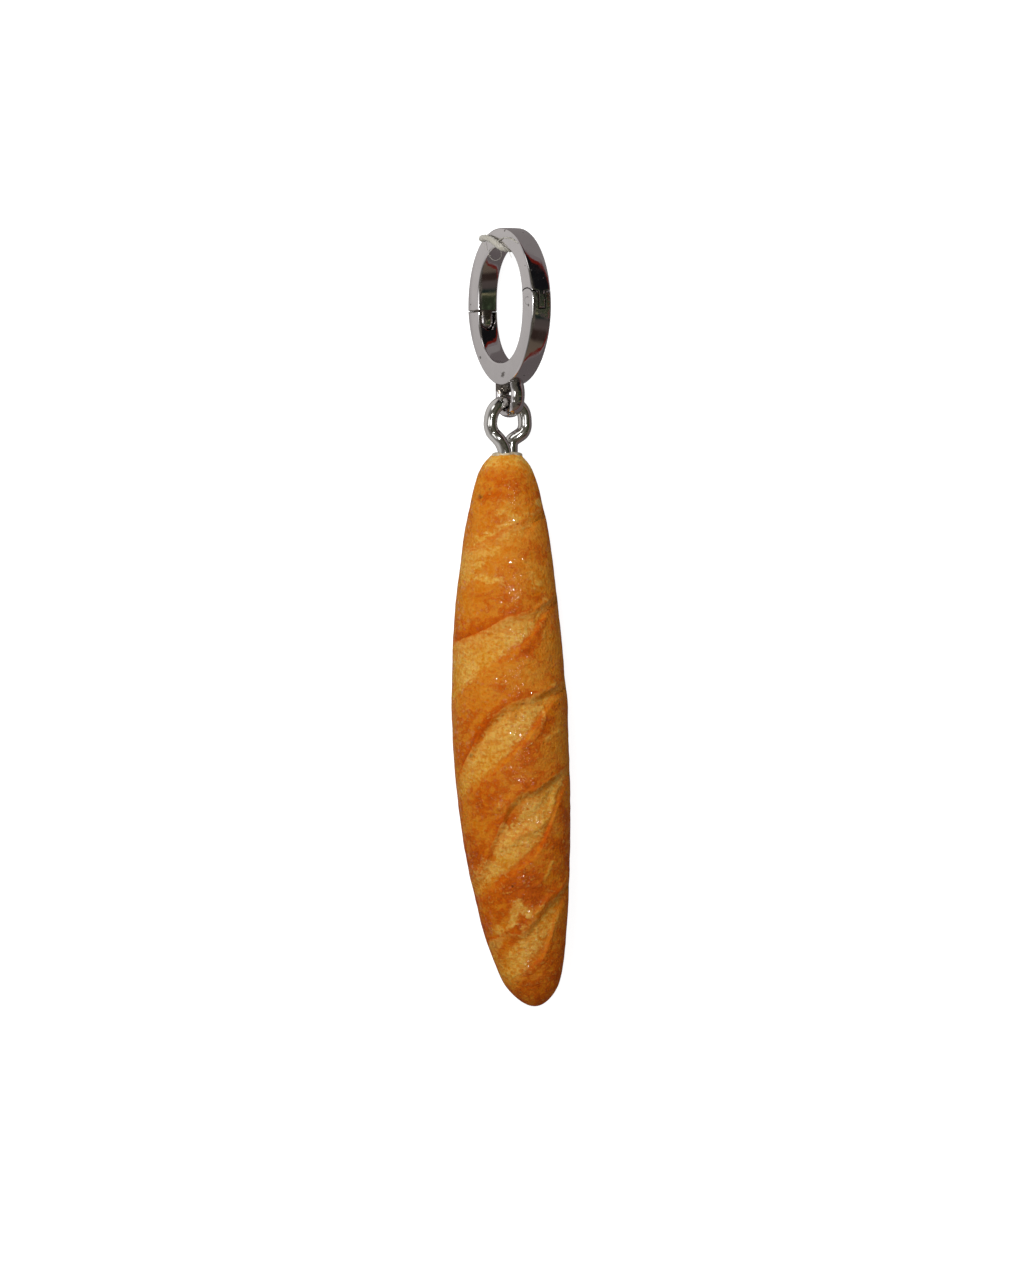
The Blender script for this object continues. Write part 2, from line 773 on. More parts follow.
@dataclass(frozen=True)
class GlueFinish:
    """Cloudy, uneven glue, yellowed and stained by the clay."""

    name: str = "clear_glue"
    colour: Colour = (0.62, 0.55, 0.38)
    stain: Colour = (0.45, 0.22, 0.05)
    grey: Colour = (0.20, 0.19, 0.16)

    def material(self, shared: SharedEffects) -> bpy.types.Material:
        """Build the material.

        Args:
            shared: The shared shader groups.

        Returns:
            The material.
        """
        material, tree, shader, place = new_material(self.name)
        cloudy = shared.use(tree, shared.mottle, place, Size=0.8 * MM, Contrast=2.0)
        fine = shared.use(tree, shared.mottle, place, Size=0.25 * MM, Contrast=2.0)
        colour = blended(tree, maths(tree, "MULTIPLY", fine, 0.55), self.colour, self.stain)
        feed(tree, shader, {
            "Base Color": blended(tree, maths(tree, "MULTIPLY", cloudy, 0.55), colour, self.grey),
            "Roughness": ranged(tree, cloudy, 0.0, 1.0, 0.12, 0.4),
            "Coat Weight": 0.6,
            "Coat Roughness": 0.08,
            "Normal": bumped(tree, 0.5, 0.03, fine),
        })
        return material


@dataclass(frozen=True)
class CottonFinish:
    """Slightly yellowed white cotton."""

    name: str = "cotton_thread"
    colour: Colour = (0.50, 0.475, 0.42)
    shadow: Colour = (0.36, 0.33, 0.26)

    def material(self, shared: SharedEffects) -> bpy.types.Material:
        """Build the material.

        Args:
            shared: The shared shader groups.

        Returns:
            The material.
        """
        material, tree, shader, place = new_material(self.name)
        cloudy = shared.use(tree, shared.mottle, place, Size=0.5 * MM, Contrast=1.6)
        fine = shared.use(tree, shared.mottle, place, Size=0.07 * MM, Contrast=2.0)
        feed(tree, shader, {
            "Base Color": blended(tree, maths(tree, "MULTIPLY", cloudy, 0.7), self.colour, self.shadow),
            "Roughness": ranged(tree, fine, 0.0, 1.0, 0.7, 0.95),
            "Sheen Weight": 0.3,
            "Normal": bumped(tree, 0.6, 0.02, fine),
        })
        return material


# ---- the loaf


@dataclass(frozen=True)
class Score:
    """One slanting score, given by the y of its ear and its lip at seven places across the crust.

    Relief says how strongly it stands out at each of them.
    """

    relief: tuple[float, ...]
    ear: tuple[float, ...]
    lip: tuple[float, ...]


class Mark(Enum):
    """What a hand-made mark on the loaf changes."""

    RELIEF = "relief"
    OPENING = "opening"
    TOASTED = "toasted"
    CREASE = "crease"
    SCORCH = "scorch"


@dataclass(frozen=True)
class Stroke:
    """A fold, scratch or brush stroke along a line, seen from above the loaf.

    Its amount is a height in millimetres for relief and a share from 0 to 1 otherwise, and ragged
    says how torn its edge is.
    """

    mark: Mark
    line: tuple[Point, ...]
    width: float
    amount: float
    ragged: float = 0.0


ACROSS = (75.0, 50.0, 25.0, 0.0, -25.0, -50.0, -75.0)

SCORES = (
    Score(
        relief=(0.5, 0.5, 0.3, 0.15, 0.1, 0.1, 0.1),
        ear=(10.2, 9.65, 8.8, 8.2, 7.0, 6.45, 6.5),
        lip=(9.6, 9.0, 7.45, 6.35, 4.8, 3.6, 2.6),
    ),
    Score(
        relief=(0.8, 0.8, 0.75, 0.5, 0.3, 0.2, 0.2),
        ear=(2.4, 1.45, 0.6, -0.05, -1.2, -1.8, -2.2),
        lip=(1.8, 0.7, -1.5, -3.3, -5.0, -6.6, -7.9),
    ),
    Score(
        relief=(0.7, 0.8, 1.0, 1.0, 0.8, 0.5, 0.3),
        ear=(-5.7, -6.2, -7.1, -7.95, -9.7, -12.9, -15.0),
        lip=(-6.4, -7.2, -9.8, -12.2, -14.2, -15.85, -16.9),
    ),
    Score(
        relief=(0.6, 0.9, 1.0, 1.0, 0.9, 0.8, 0.5),
        ear=(-13.4, -14.1, -15.3, -16.6, -20.2, -23.1, -23.9),
        lip=(-14.3, -16.7, -20.8, -22.6, -24.0, -25.1, -25.8),
    ),
    Score(
        relief=(1.0, 1.0, 0.9, 0.7, 0.5, 0.4, 0.3),
        ear=(-23.7, -25.0, -26.5, -28.4, -28.6, -29.1, -29.7),
        lip=(-24.5, -26.6, -30.3, -31.6, -31.85, -32.0, -32.1),
    ),
)

# Folded edges in the lower scores.
BLOB_FOLD = (
    (4.95, -14.4), (4.1, -16.0), (3.7, -18.1), (2.6, -19.2), (0.9, -19.9), (-0.2, -20.9), (-1.2, -20.95),
)
INNER_FOLD = ((3.9, -17.9), (3.1, -20.3), (1.7, -21.5), (0.2, -22.9), (-0.5, -23.4), (-1.9, -24.8))
LAST_FOLD = ((4.1, -27.2), (3.8, -28.4), (3.7, -29.4), (3.3, -30.5), (2.7, -31.0))

STROKES = (
    # Pale neck and the dark band below it.
    Stroke(Mark.OPENING, ((-3.4, 13.6), (-1.9, 14.2), (1.2, 14.2), (2.8, 13.2)), 0.75, 1.0, 0.5),
    Stroke(Mark.TOASTED, ((-3.0, 12.2), (-0.5, 12.6), (1.6, 12.2)), 0.9, 0.6, 0.5),
    Stroke(Mark.TOASTED, ((-3.4, 10.4), (-0.9, 11.2), (2.4, 10.6)), 1.0, 0.45, 0.6),
    Stroke(Mark.OPENING, ((0.2, 10.2), (-1.2, 9.2)), 0.8, 0.5, 1.0),
    Stroke(Mark.OPENING, ((2.2, 10.5), (2.9, 10.1)), 0.35, 0.8, 0.5),
    Stroke(Mark.OPENING, ((-3.4, 6.6), (-1.8, 7.2)), 0.7, 0.8, 0.6),
    Stroke(Mark.OPENING, ((-4.1, 5.8), (-1.7, 7.0), (0.4, 8.3), (1.8, 9.3)), 0.8, 0.9, 0.5),
    # Spur under the first score.
    Stroke(Mark.OPENING, ((-4.3, 2.9), (-3.7, 3.7), (-2.3, 3.4), (-0.9, 3.15)), 0.42, 0.9, 0.4),
    Stroke(Mark.RELIEF, ((-3.7, 3.9), (-2.3, 3.6), (-0.9, 3.3)), 0.3, -0.042),
    # Upper right corner of the second score, a bright ramp with a raised edge.
    Stroke(Mark.RELIEF, ((3.6, 1.7), (2.6, 0.9), (2.1, 0.55)), 0.22, 0.1),
    Stroke(Mark.OPENING, ((3.5, 1.6), (2.5, 0.8), (2.0, 0.5)), 0.3, 0.8, 0.3),
    Stroke(Mark.OPENING, ((2.9, 3.2), (2.0, 2.6), (1.6, 4.7)), 0.35, 0.45, 0.8),
    Stroke(Mark.OPENING, ((3.0, -0.7), (3.0, -2.0)), 0.12, 0.7, 0.2),
    Stroke(Mark.TOASTED, ((3.1, 0.2), (2.6, -1.2), (1.8, -2.8), (0.6, -4.0)), 0.5, 0.8, 0.5),
    # Third score.
    Stroke(Mark.RELIEF, ((4.2, -6.1), (3.2, -6.8), (2.4, -7.4)), 0.22, 0.1),
    Stroke(Mark.OPENING, ((4.2, -6.1), (3.1, -6.8), (2.4, -7.3)), 0.3, 0.9, 0.3),
    Stroke(Mark.OPENING, ((3.05, -8.0), (3.05, -9.4), (2.0, -11.6)), 0.14, 0.9, 0.3),
    Stroke(Mark.RELIEF, ((3.05, -8.0), (3.05, -9.4), (2.0, -11.6)), 0.14, 0.04),
    Stroke(Mark.TOASTED, ((4.3, -7.4), (3.6, -9.2), (2.2, -11.6), (0.4, -13.2)), 0.6, 0.8, 0.5),
    Stroke(Mark.TOASTED, ((-1.5, -8.6), (-2.6, -10.2), (-3.6, -11.9)), 0.45, 1.0, 0.4),
    Stroke(Mark.OPENING, ((4.5, -10.4), (3.0, -11.2)), 0.2, 0.8, 0.3),
    Stroke(Mark.RELIEF, ((4.5, -10.4), (3.0, -11.2)), 0.2, 0.07),
    Stroke(Mark.OPENING, ((2.5, -8.1), (1.4, -9.6)), 0.5, 0.5, 0.8),
    # Fourth score, with a raised blob and a folded edge inside.
    Stroke(Mark.RELIEF, ((4.7, -14.1), (3.5, -14.8), (2.4, -15.6), (1.3, -16.2)), 0.2, 0.08),
    Stroke(Mark.TOASTED, ((3.2, -13.8), (2.0, -15.0), (0.9, -15.6)), 0.7, 1.0, 0.4),
    Stroke(Mark.OPENING, ((-1.2, -17.2), (-0.4, -17.5)), 0.5, 1.0, 0.3),
    Stroke(Mark.RELIEF, ((-1.2, -17.2), (-0.5, -17.4)), 0.42, 0.2),
    Stroke(Mark.TOASTED, ((0.8, -17.6), (-0.2, -18.6), (1.0, -17.0)), 0.45, 0.8, 0.5),
    Stroke(Mark.RELIEF, BLOB_FOLD, 0.26, 0.12),
    Stroke(Mark.RELIEF, ((4.6, -14.2), (3.6, -16.6), (2.2, -18.0), (0.2, -19.3), (-1.4, -20.0)), 0.4, -0.084),
    Stroke(Mark.CREASE, ((2.4, -18.9), (0.9, -19.6), (-0.2, -20.6)), 0.12, 0.5),
    Stroke(Mark.OPENING, ((3.2, -18.6), (1.2, -20.6), (-1.0, -22.3), (-3.0, -23.8)), 1.0, 1.0, 0.4),
    Stroke(Mark.CREASE, (*INNER_FOLD, (-2.9, -25.2)), 0.12, 0.5),
    Stroke(Mark.RELIEF, INNER_FOLD, 0.14, -0.048),
    Stroke(Mark.TOASTED, ((3.9, -18.1), (3.1, -20.5), (1.7, -21.8), (0.2, -23.2)), 0.35, 0.9, 0.4),
    Stroke(
        Mark.TOASTED,
        ((-1.6, -18.2), (-2.2, -20.0), (-3.2, -22.4), (-2.2, -21.0), (-1.6, -22.4)),
        0.45, 1.0, 0.8,
    ),
    Stroke(Mark.TOASTED, ((-0.6, -16.8), (-1.8, -19.6), (-3.0, -21.0)), 0.5, 0.7, 0.8),
    Stroke(Mark.OPENING, ((3.8, -22.1), (3.0, -24.0)), 0.14, 0.8, 0.2),
    Stroke(Mark.RELIEF, ((3.8, -22.1), (3.0, -24.0)), 0.16, 0.05),
    # Fifth score and the free end.
    Stroke(Mark.RELIEF, ((5.0, -23.9), (4.4, -24.9), (3.5, -25.4), (2.6, -26.7), (2.0, -27.2)), 0.2, 0.09),
    Stroke(Mark.CREASE, ((4.9, -24.1), (2.9, -27.0), (1.9, -28.1)), 0.14, 0.7),
    Stroke(Mark.OPENING, ((0.3, -25.8), (1.2, -26.6), (2.0, -27.3)), 0.4, 1.0, 0.3),
    Stroke(Mark.OPENING, ((0.6, -26.2), (0.2, -27.8), (-1.5, -28.8)), 0.45, 0.9, 0.5),
    Stroke(Mark.TOASTED, ((-0.2, -24.6), (-1.0, -26.6), (-0.6, -28.0)), 0.6, 0.9, 0.4),
    Stroke(Mark.TOASTED, ((2.6, -25.0), (1.4, -26.0)), 0.5, 0.9, 0.4),
    Stroke(Mark.OPENING, ((4.0, -26.5), (2.6, -28.5), (0.8, -31.3), (-0.8, -33.0)), 1.1, 0.9, 0.6),
    Stroke(Mark.TOASTED, ((0.6, -29.1), (-0.6, -30.2), (-1.0, -31.2)), 0.4, 1.0, 0.4),
    Stroke(Mark.CREASE, (*LAST_FOLD, (2.1, -31.6)), 0.1, 0.45),
    Stroke(Mark.RELIEF, LAST_FOLD, 0.16, 0.06),
    Stroke(Mark.TOASTED, ((4.4, -28.4), (4.0, -30.4), (2.6, -32.4)), 0.6, 0.8, 0.5),
    Stroke(Mark.OPENING, ((-0.2, -32.2), (1.0, -32.6)), 0.6, 0.7, 0.8),
    Stroke(Mark.TOASTED, ((0.8, -34.0), (2.4, -32.9), (3.9, -30.4)), 0.9, 1.0, 0.6),
    Stroke(Mark.TOASTED, ((0.0, -34.9), (2.4, -34.9)), 0.8, 0.9, 0.5),
    # Scorched specks.
    Stroke(Mark.SCORCH, ((-2.85, 11.05), (-2.6, 10.8)), 0.09, 0.75, 1.0),
    Stroke(Mark.SCORCH, ((-2.5, 10.9), (-2.8, 10.7)), 0.08, 0.7, 1.0),
    Stroke(Mark.SCORCH, ((-1.87, 11.55),), 0.09, 0.75),
    Stroke(Mark.SCORCH, ((1.2, -7.9),), 0.09, 0.7),
    Stroke(Mark.SCORCH, ((0.55, -9.0),), 0.09, 0.7),
    Stroke(Mark.SCORCH, ((-3.55, -12.6),), 0.1, 0.9),
    Stroke(Mark.SCORCH, ((0.6, 8.4), (0.75, 8.38)), 0.07, 0.7),
    Stroke(Mark.SCORCH, ((-3.5, 5.7),), 0.08, 0.5),
    Stroke(Mark.SCORCH, ((1.4, 4.9),), 0.07, 0.6),
)


@dataclass
class Loaf:
    """The scored loaf. Its rows of points follow the ears and lips of the scores.

    Each of the three kinds of small bumps is given by its height and its size.
    """

    top_y: float = 14.5
    end_y: float = -35.45
    bend: float = 2.58
    bend_power: float = 2.8
    start_x: float = -0.37
    widths: Table = (
        (14.5, 1.5), (13.86, 2.05), (12.77, 2.59), (10.59, 3.21), (6.23, 4.01), (-1.41, 4.87),
        (-10.14, 5.3), (-18.86, 4.97), (-27.59, 3.93), (-33.05, 2.64), (-35.45, 0.0),
    )
    top_ratio: float = 0.87
    under_ratio: float = 0.93
    under_power: float = 2.5
    axis_z: float = 4.62
    neck_rise: float = 0.62
    neck_length: float = 9.0
    neck_dome: float = 0.3
    scores: tuple[Score, ...] = SCORES
    strokes: tuple[Stroke, ...] = STROKES
    ear_width: float = 0.8
    ear_lift: float = 0.18
    drop_width: float = 1.05
    score_depth: float = 0.24
    lip_step: float = 0.1
    crust_swell: float = 0.14
    fade: Point = (48.0, 96.0)
    wander: float = 0.13
    swells: Point = (0.05, 2.6)
    peel: Point = (0.016, 0.62)
    crumbs: Point = (0.03, 0.5)
    columns: int = 208
    tip_rows: int = 36
    dome_rows: int = 8
    pitch: float = 0.116
    crown_share: float = 0.62
    lines: list[tuple[Array, Array]] = field(default_factory=list)

    def half_width(self, y: Array) -> Array:
        """Half of the loaf's width at y."""
        squares = [(place, half * half) for place, half in self.widths]
        return np.sqrt(np.maximum(through(squares, y), 0.0))

    def axis(self, y: Array) -> tuple[Array, Array]:
        """Place the loaf's middle line.

        Args:
            y: Levels along the loaf.

        Returns:
            X and Z of the line at each level.
        """
        t = np.clip((self.top_y - y) / (self.top_y - self.end_y), 0.0, 1.0)
        neck = smooth_step(self.top_y - self.neck_length, self.top_y, y)
        return self.start_x + self.bend * t**self.bend_power, self.axis_z + self.neck_rise * neck

    def angles(self) -> Array:
        """Angles of the columns from the crown in degrees, closer together near the crown."""
        s = 1.0 - 2.0 * np.arange(self.columns) / self.columns
        return 180.0 * (self.crown_share * s + (1.0 - self.crown_share) * s**3)

    def line_y(self, values: Sequence[float], angle: Array) -> Array:
        """Run a score line round the loaf.

        Args:
            values: Its y at the seven places across the crust.
            angle: Angles from the crown in degrees.

        Returns:
            Its y at each angle. Under the loaf it runs on to meet its own other end.
        """
        edge = ACROSS[0]
        over = through(zip(ACROSS, values), np.clip(angle, -edge, edge))
        turn = np.where(angle > 0, angle - edge, 360.0 + angle - edge)
        share = smooth_step(0.0, 360.0 - 2.0 * edge, turn)
        return np.where(np.abs(angle) <= edge, over, values[0] + (values[-1] - values[0]) * share)

    def standing_out(self, score: Score, angle: Array) -> Array:
        """How strongly a score stands out at each angle."""
        return through(zip(ACROSS, score.relief), np.clip(angle, -ACROSS[0], ACROSS[0]))

    @staticmethod
    def round_crust(angle: Array, level: float) -> Array:
        """Places round the crust where a random field is read, at a level of their own."""
        return np.stack([np.radians(angle) * 5.0, np.full_like(angle, level), angle * 0], axis=1)

    def wandering(self, angle: Array, number: int) -> Array:
        """Small sideways wander of a score line, which differs from line to line."""
        place = self.round_crust(angle, number * 7.3)
        return self.wander * cloud(place, 1.1, 11, 2) * smooth_step(110.0, 70.0, np.abs(angle))

    def row_levels(self, angle: Array) -> Array:
        """Lay out the rows.

        Args:
            angle: Angles of the columns.

        Returns:
            The y of each point, shaped (rows, columns).
        """
        self.lines = []
        for i, score in enumerate(self.scores):
            ear = self.line_y(score.ear, angle) + self.wandering(angle, 2 * i)
            lip = self.line_y(score.lip, angle) + self.wandering(angle, 2 * i + 1)
            self.lines.append((ear, np.minimum(lip, ear - 0.3)))
        level = np.full_like(angle, self.top_y)
        crown = np.abs(angle) < ACROSS[0]
        stops = [level]
        for ear, lip in self.lines:
            stops += [ear + self.ear_width, ear, ear - self.drop_width, lip]
        rows = []
        for upper, lower in zip(stops[:-1], stops[1:]):
            count = max(3, round(float(np.mean((upper - lower)[crown])) / self.pitch))
            rows += [upper + (lower - upper) * k / count for k in range(count)]
        for k in range(self.tip_rows):
            share = 1.0 - (1.0 - k / self.tip_rows) ** 2
            rows.append(stops[-1] + (self.end_y - stops[-1]) * share)
        return np.array(rows)

    def relief(self, angle: Array, y: Array) -> Array:
        """Work out the ears, openings and swells.

        Args:
            angle: Angles of the columns.
            y: Levels, shaped (rows, columns).

        Returns:
            Height above the plain form at each point.
        """
        total = np.zeros_like(y)
        for i, (ear, lip) in enumerate(self.lines):
            place = self.round_crust(angle, 40.0 + 9.0 * i)
            share_of = self.standing_out(self.scores[i], angle)
            strength = share_of * (0.95 + 0.4 * cloud(place, 1.7, 23, 2))
            above = y - ear
            share = np.clip((ear - y) / (ear - lip), 0.0, 1.0)
            step = self.lip_step * share_of
            lift = self.ear_lift * strength * np.exp(-((np.maximum(above, 0.0) / self.ear_width) ** 2))
            floor = -self.score_depth * strength * (1.0 - share) ** 0.8 - step * share
            drop = smooth_step(0.0, -self.drop_width, above)
            inside = lift * (1.0 - drop) + floor * drop
            past = lip - y
            rise = -step + 2.0 * step * smooth_step(0.0, 0.6, past)
            beyond = np.where(rise > 0, rise * np.exp(-np.maximum(past - 0.6, 0.0) / 1.2), rise)
            total += np.where(above >= 0, lift, np.where(past <= 0, inside, beyond))
            if i + 1 < len(self.lines):
                reach = np.clip(past / (lip - self.lines[i + 1][0]), 0.0, 1.0)
                total += self.crust_swell * np.sin(np.pi * reach)
        return total * smooth_step(self.fade[1], self.fade[0], np.abs(angle))

    def surface(self, angle: Array, y: Array, out: Array) -> Array:
        """Place points on the loaf.

        Args:
            angle: Angles of the columns.
            y: Levels, shaped (rows, columns).
            out: Height above the plain form.

        Returns:
            The points, shaped (rows, columns, 3).
        """
        half = self.half_width(y)
        axis_x, axis_z = self.axis(y)
        turn = np.radians(angle)
        under = np.cos(turn) < 0
        power = np.where(under, self.under_power, 2.0)
        ratio = np.where(under, self.under_ratio, self.top_ratio)
        x = axis_x + (half + out) * squared(np.sin(turn), power)
        z = axis_z + (half * ratio + out) * squared(np.cos(turn), power)
        return np.stack([x, y, np.maximum(z, 0.0)], axis=2)

    def paint(self, angle: Array, y: Array) -> dict[Mark, Array]:
        """Paint the openings and the toasted ears.

        Args:
            angle: Angles of the columns.
            y: Levels, shaped (rows, columns).

        Returns:
            A mask from 0 to 1 for each kind of mark.
        """
        masks = {mark: np.zeros_like(y) for mark in Mark}
        browned = smooth_step(0.0, -30.0, y)
        masks[Mark.TOASTED] += 0.18 + 0.8 * browned**1.5
        side = smooth_step(100.0, 62.0, np.abs(angle))
        for ear, lip in self.lines:
            above = y - ear
            past = lip - y
            opened = smooth_step(0.06, -0.24, above) * smooth_step(0.4, -0.9, past) * side
            masks[Mark.OPENING] = np.maximum(masks[Mark.OPENING], opened * (1.0 - 0.25 * browned))
            under = smooth_step(0.1, -0.1, above) * np.exp(np.minimum(above, 0.0) / 0.7)
            masks[Mark.CREASE] = np.maximum(masks[Mark.CREASE], 0.75 * under * side)
            near = np.where(above >= -0.05, np.exp(-np.maximum(above, 0.0) / 1.1), 0.0)
            masks[Mark.TOASTED] = np.maximum(masks[Mark.TOASTED], 0.85 * near * side)
        return masks

    def add_strokes(self, masks: dict[Mark, Array], points: Array, angle: Array) -> None:
        """Lay the hand-made strokes over the masks.

        Args:
            masks: The masks, which are changed in place.
            points: The plain surface, shaped (rows, columns, 3).
            angle: Angles of the columns.
        """
        flat = points.reshape(-1, 3)
        shown = np.broadcast_to(smooth_step(98.0, 84.0, np.abs(angle)), points.shape[:2]).ravel()
        torn = cloud(flat, 0.55, 71, 2)
        for stroke in self.strokes:
            low = np.min(stroke.line, axis=0) - 3.0 * stroke.width
            high = np.max(stroke.line, axis=0) + 3.0 * stroke.width
            near = np.all((flat[:, :2] > low) & (flat[:, :2] < high), axis=1) & (shown > 0)
            if not near.any():
                continue
            gap, along = line_distance(flat[near, :2], stroke.line)
            gap = gap * (1.0 + stroke.ragged * 0.6 * torn[near])
            ends = 1.0
            if len(stroke.line) > 1:
                ends = np.clip(4.0 * np.minimum(along, 1.0 - along) + 0.35, 0.0, 1.0)
            value = stroke.amount * np.exp(-((gap / stroke.width) ** 2)) * ends * shown[near]
            where = np.unravel_index(np.flatnonzero(near), points.shape[:2])
            if stroke.mark is Mark.RELIEF:
                masks[Mark.RELIEF][where] += value
                continue
            masks[stroke.mark][where] = np.maximum(masks[stroke.mark][where], value)
            if stroke.mark is Mark.TOASTED:
                masks[Mark.OPENING][where] *= 1.0 - np.clip(1.2 * value, 0.0, 1.0)
            if stroke.mark is Mark.OPENING:
                masks[Mark.TOASTED][where] *= 1.0 - np.clip(value, 0.0, 1.0)

    def roughness(self, points: Array, opening: Array) -> Array:
        """Work out the small bumps: orange peel on the crust, and grain in the openings.

        Args:
            points: The plain surface, shaped (rows, columns, 3).
            opening: The mask of the openings.

        Returns:
            Height at each point.
        """
        flat = points.reshape(-1, 3)
        kinds = (self.swells, self.peel, self.crumbs)
        broad, peel, grain = (
            high * cloud(flat, size, seed, 2) for (high, size), seed in zip(kinds, (3, 5, 7))
        )
        share = opening.ravel()
        return (broad + peel * (1.0 - share) + grain * share).reshape(opening.shape)

    def build(self, shift: Vector, material: bpy.types.Material) -> bpy.types.Object:
        """Make the loaf.

        Args:
            shift: Where the origin of these sizes lies in the part's frame.
            material: Its finish.

        Returns:
            The loaf.
        """
        angle = self.angles()
        y = self.row_levels(angle)
        plain = self.surface(angle, y, np.zeros_like(y))
        masks = self.paint(angle, y)
        self.add_strokes(masks, plain, angle)
        flat_share = smooth_step(150.0, 120.0, np.abs(angle))
        slim = np.minimum(self.half_width(y) / 2.5, 1.0)
        bumps = self.roughness(plain, masks[Mark.OPENING]) * (0.35 + 0.65 * flat_share)
        out = self.relief(angle, y) + masks[Mark.RELIEF] + bumps * slim
        points = self.surface(angle, y, out)

        dome = []
        for k in range(self.dome_rows, 0, -1):
            turn = 0.5 * math.pi * k / (self.dome_rows + 1)
            ring = points[0].copy()
            middle = ring.mean(axis=0)
            ring = middle + (ring - middle) * math.cos(turn)
            ring[:, 1] = self.top_y + self.neck_dome * math.sin(turn)
            dome.append(ring)
        rows = np.concatenate([np.array(dome), points]) + np.array(shift)
        start = rows[0].mean(axis=0) + (0.0, 0.01, 0.0)
        end_x, end_z = self.axis(np.array([self.end_y]))
        end = np.array([end_x[0], self.end_y, end_z[0]]) + np.array(shift)
        mesh = tube_mesh("clay_loaf", rows * MM, start * MM, end * MM)
        for mark in (Mark.OPENING, Mark.TOASTED, Mark.CREASE, Mark.SCORCH):
            field_of = np.concatenate([np.repeat(masks[mark][:1], self.dome_rows, axis=0), masks[mark]])
            values = np.concatenate([field_of.ravel(), [field_of[0].mean(), field_of[-1].mean()]])
            store(mesh, mark.value, np.clip(values, 0.0, 1.0))
        mesh.shade_smooth()
        mesh.materials.append(material)
        loaf = new_object("clay_loaf", mesh)
        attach(loaf, "loaf")
        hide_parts("loaf")
        return loaf


# ---- eye and glue


@dataclass
class WireEye:
    """The bent wire eye, drawn in its own plane: across, and along +Y from the pivot.

    Near the clay one leg passes in front of the other.
    """

    radius: float = 0.63
    legs: Point = (0.52, -0.6)
    leg_end: float = -6.5
    bends: tuple[Point, ...] = (
        (0.52, -4.9), (0.62, -4.3), (0.88, -3.8), (1.31, -3.25), (1.67, -2.72), (1.85, -2.05),
        (1.62, -0.95), (0.95, -0.26), (0.0, 0.0), (-0.98, -0.26), (-1.72, -0.95), (-1.89, -2.05),
        (-1.68, -2.72), (-1.2, -3.14), (-0.74, -3.5), (-0.62, -3.9), (-0.6, -4.6),
    )
    crossing: float = 0.37
    crossing_from: Point = (-2.7, -3.6)
    steps: int = 260
    sides: int = 36
    dents: float = 0.018
    dent_size: float = 0.8

    def centre_line(self) -> Array:
        """Run the middle of the wire through its bends.

        Returns:
            One row of (across, along) for each step.
        """
        corners = np.array([(self.legs[0], self.leg_end), *self.bends, (self.legs[1], self.leg_end)])
        travel = np.concatenate([[0.0], np.cumsum(np.linalg.norm(np.diff(corners, axis=0), axis=1))])
        place = np.linspace(0.0, travel[-1], self.steps)
        return np.stack([through(zip(travel, corners[:, k]), place) for k in (0, 1)], axis=1)

    def build(self, frame: Matrix, material: bpy.types.Material) -> bpy.types.Object:
        """Make the eye.

        Args:
            frame: Where the eye's plane stands: its X is across, its Y along.
            material: Its finish.

        Returns:
            The eye.
        """
        line = self.centre_line()
        passing = -self.crossing * np.sign(line[:, :1]) * smooth_step(*self.crossing_from, line[:, 1:])
        middle = np.concatenate([line, passing], axis=1)
        way = np.gradient(middle, axis=0)
        way /= np.linalg.norm(way, axis=1)[:, None]
        side = np.cross(way, (0.0, 0.0, 1.0))
        side /= np.linalg.norm(side, axis=1)[:, None]
        deep = np.cross(side, way)
        turn = turns(self.sides)[None, :, None]
        ring = np.cos(turn) * side[:, None, :] + np.sin(turn) * deep[:, None, :]
        rows = middle[:, None, :] + self.radius * ring
        uneven = cloud(rows.reshape(-1, 3), self.dent_size, 19, 2).reshape(rows.shape[:2])
        dent = 1.0 + self.dents / self.radius * uneven
        rows = middle[:, None, :] + (rows - middle[:, None, :]) * dent[:, :, None]
        start, end = (placed(middle[k], frame) for k in (0, -1))
        mesh = tube_mesh("bent_wire_eye", placed(rows, frame), start, end)
        shade(mesh, 60.0)
        mesh.materials.append(material)
        eye = new_object("bent_wire_eye", mesh)
        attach(eye, "loaf")
        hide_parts("wire_eye")
        return eye


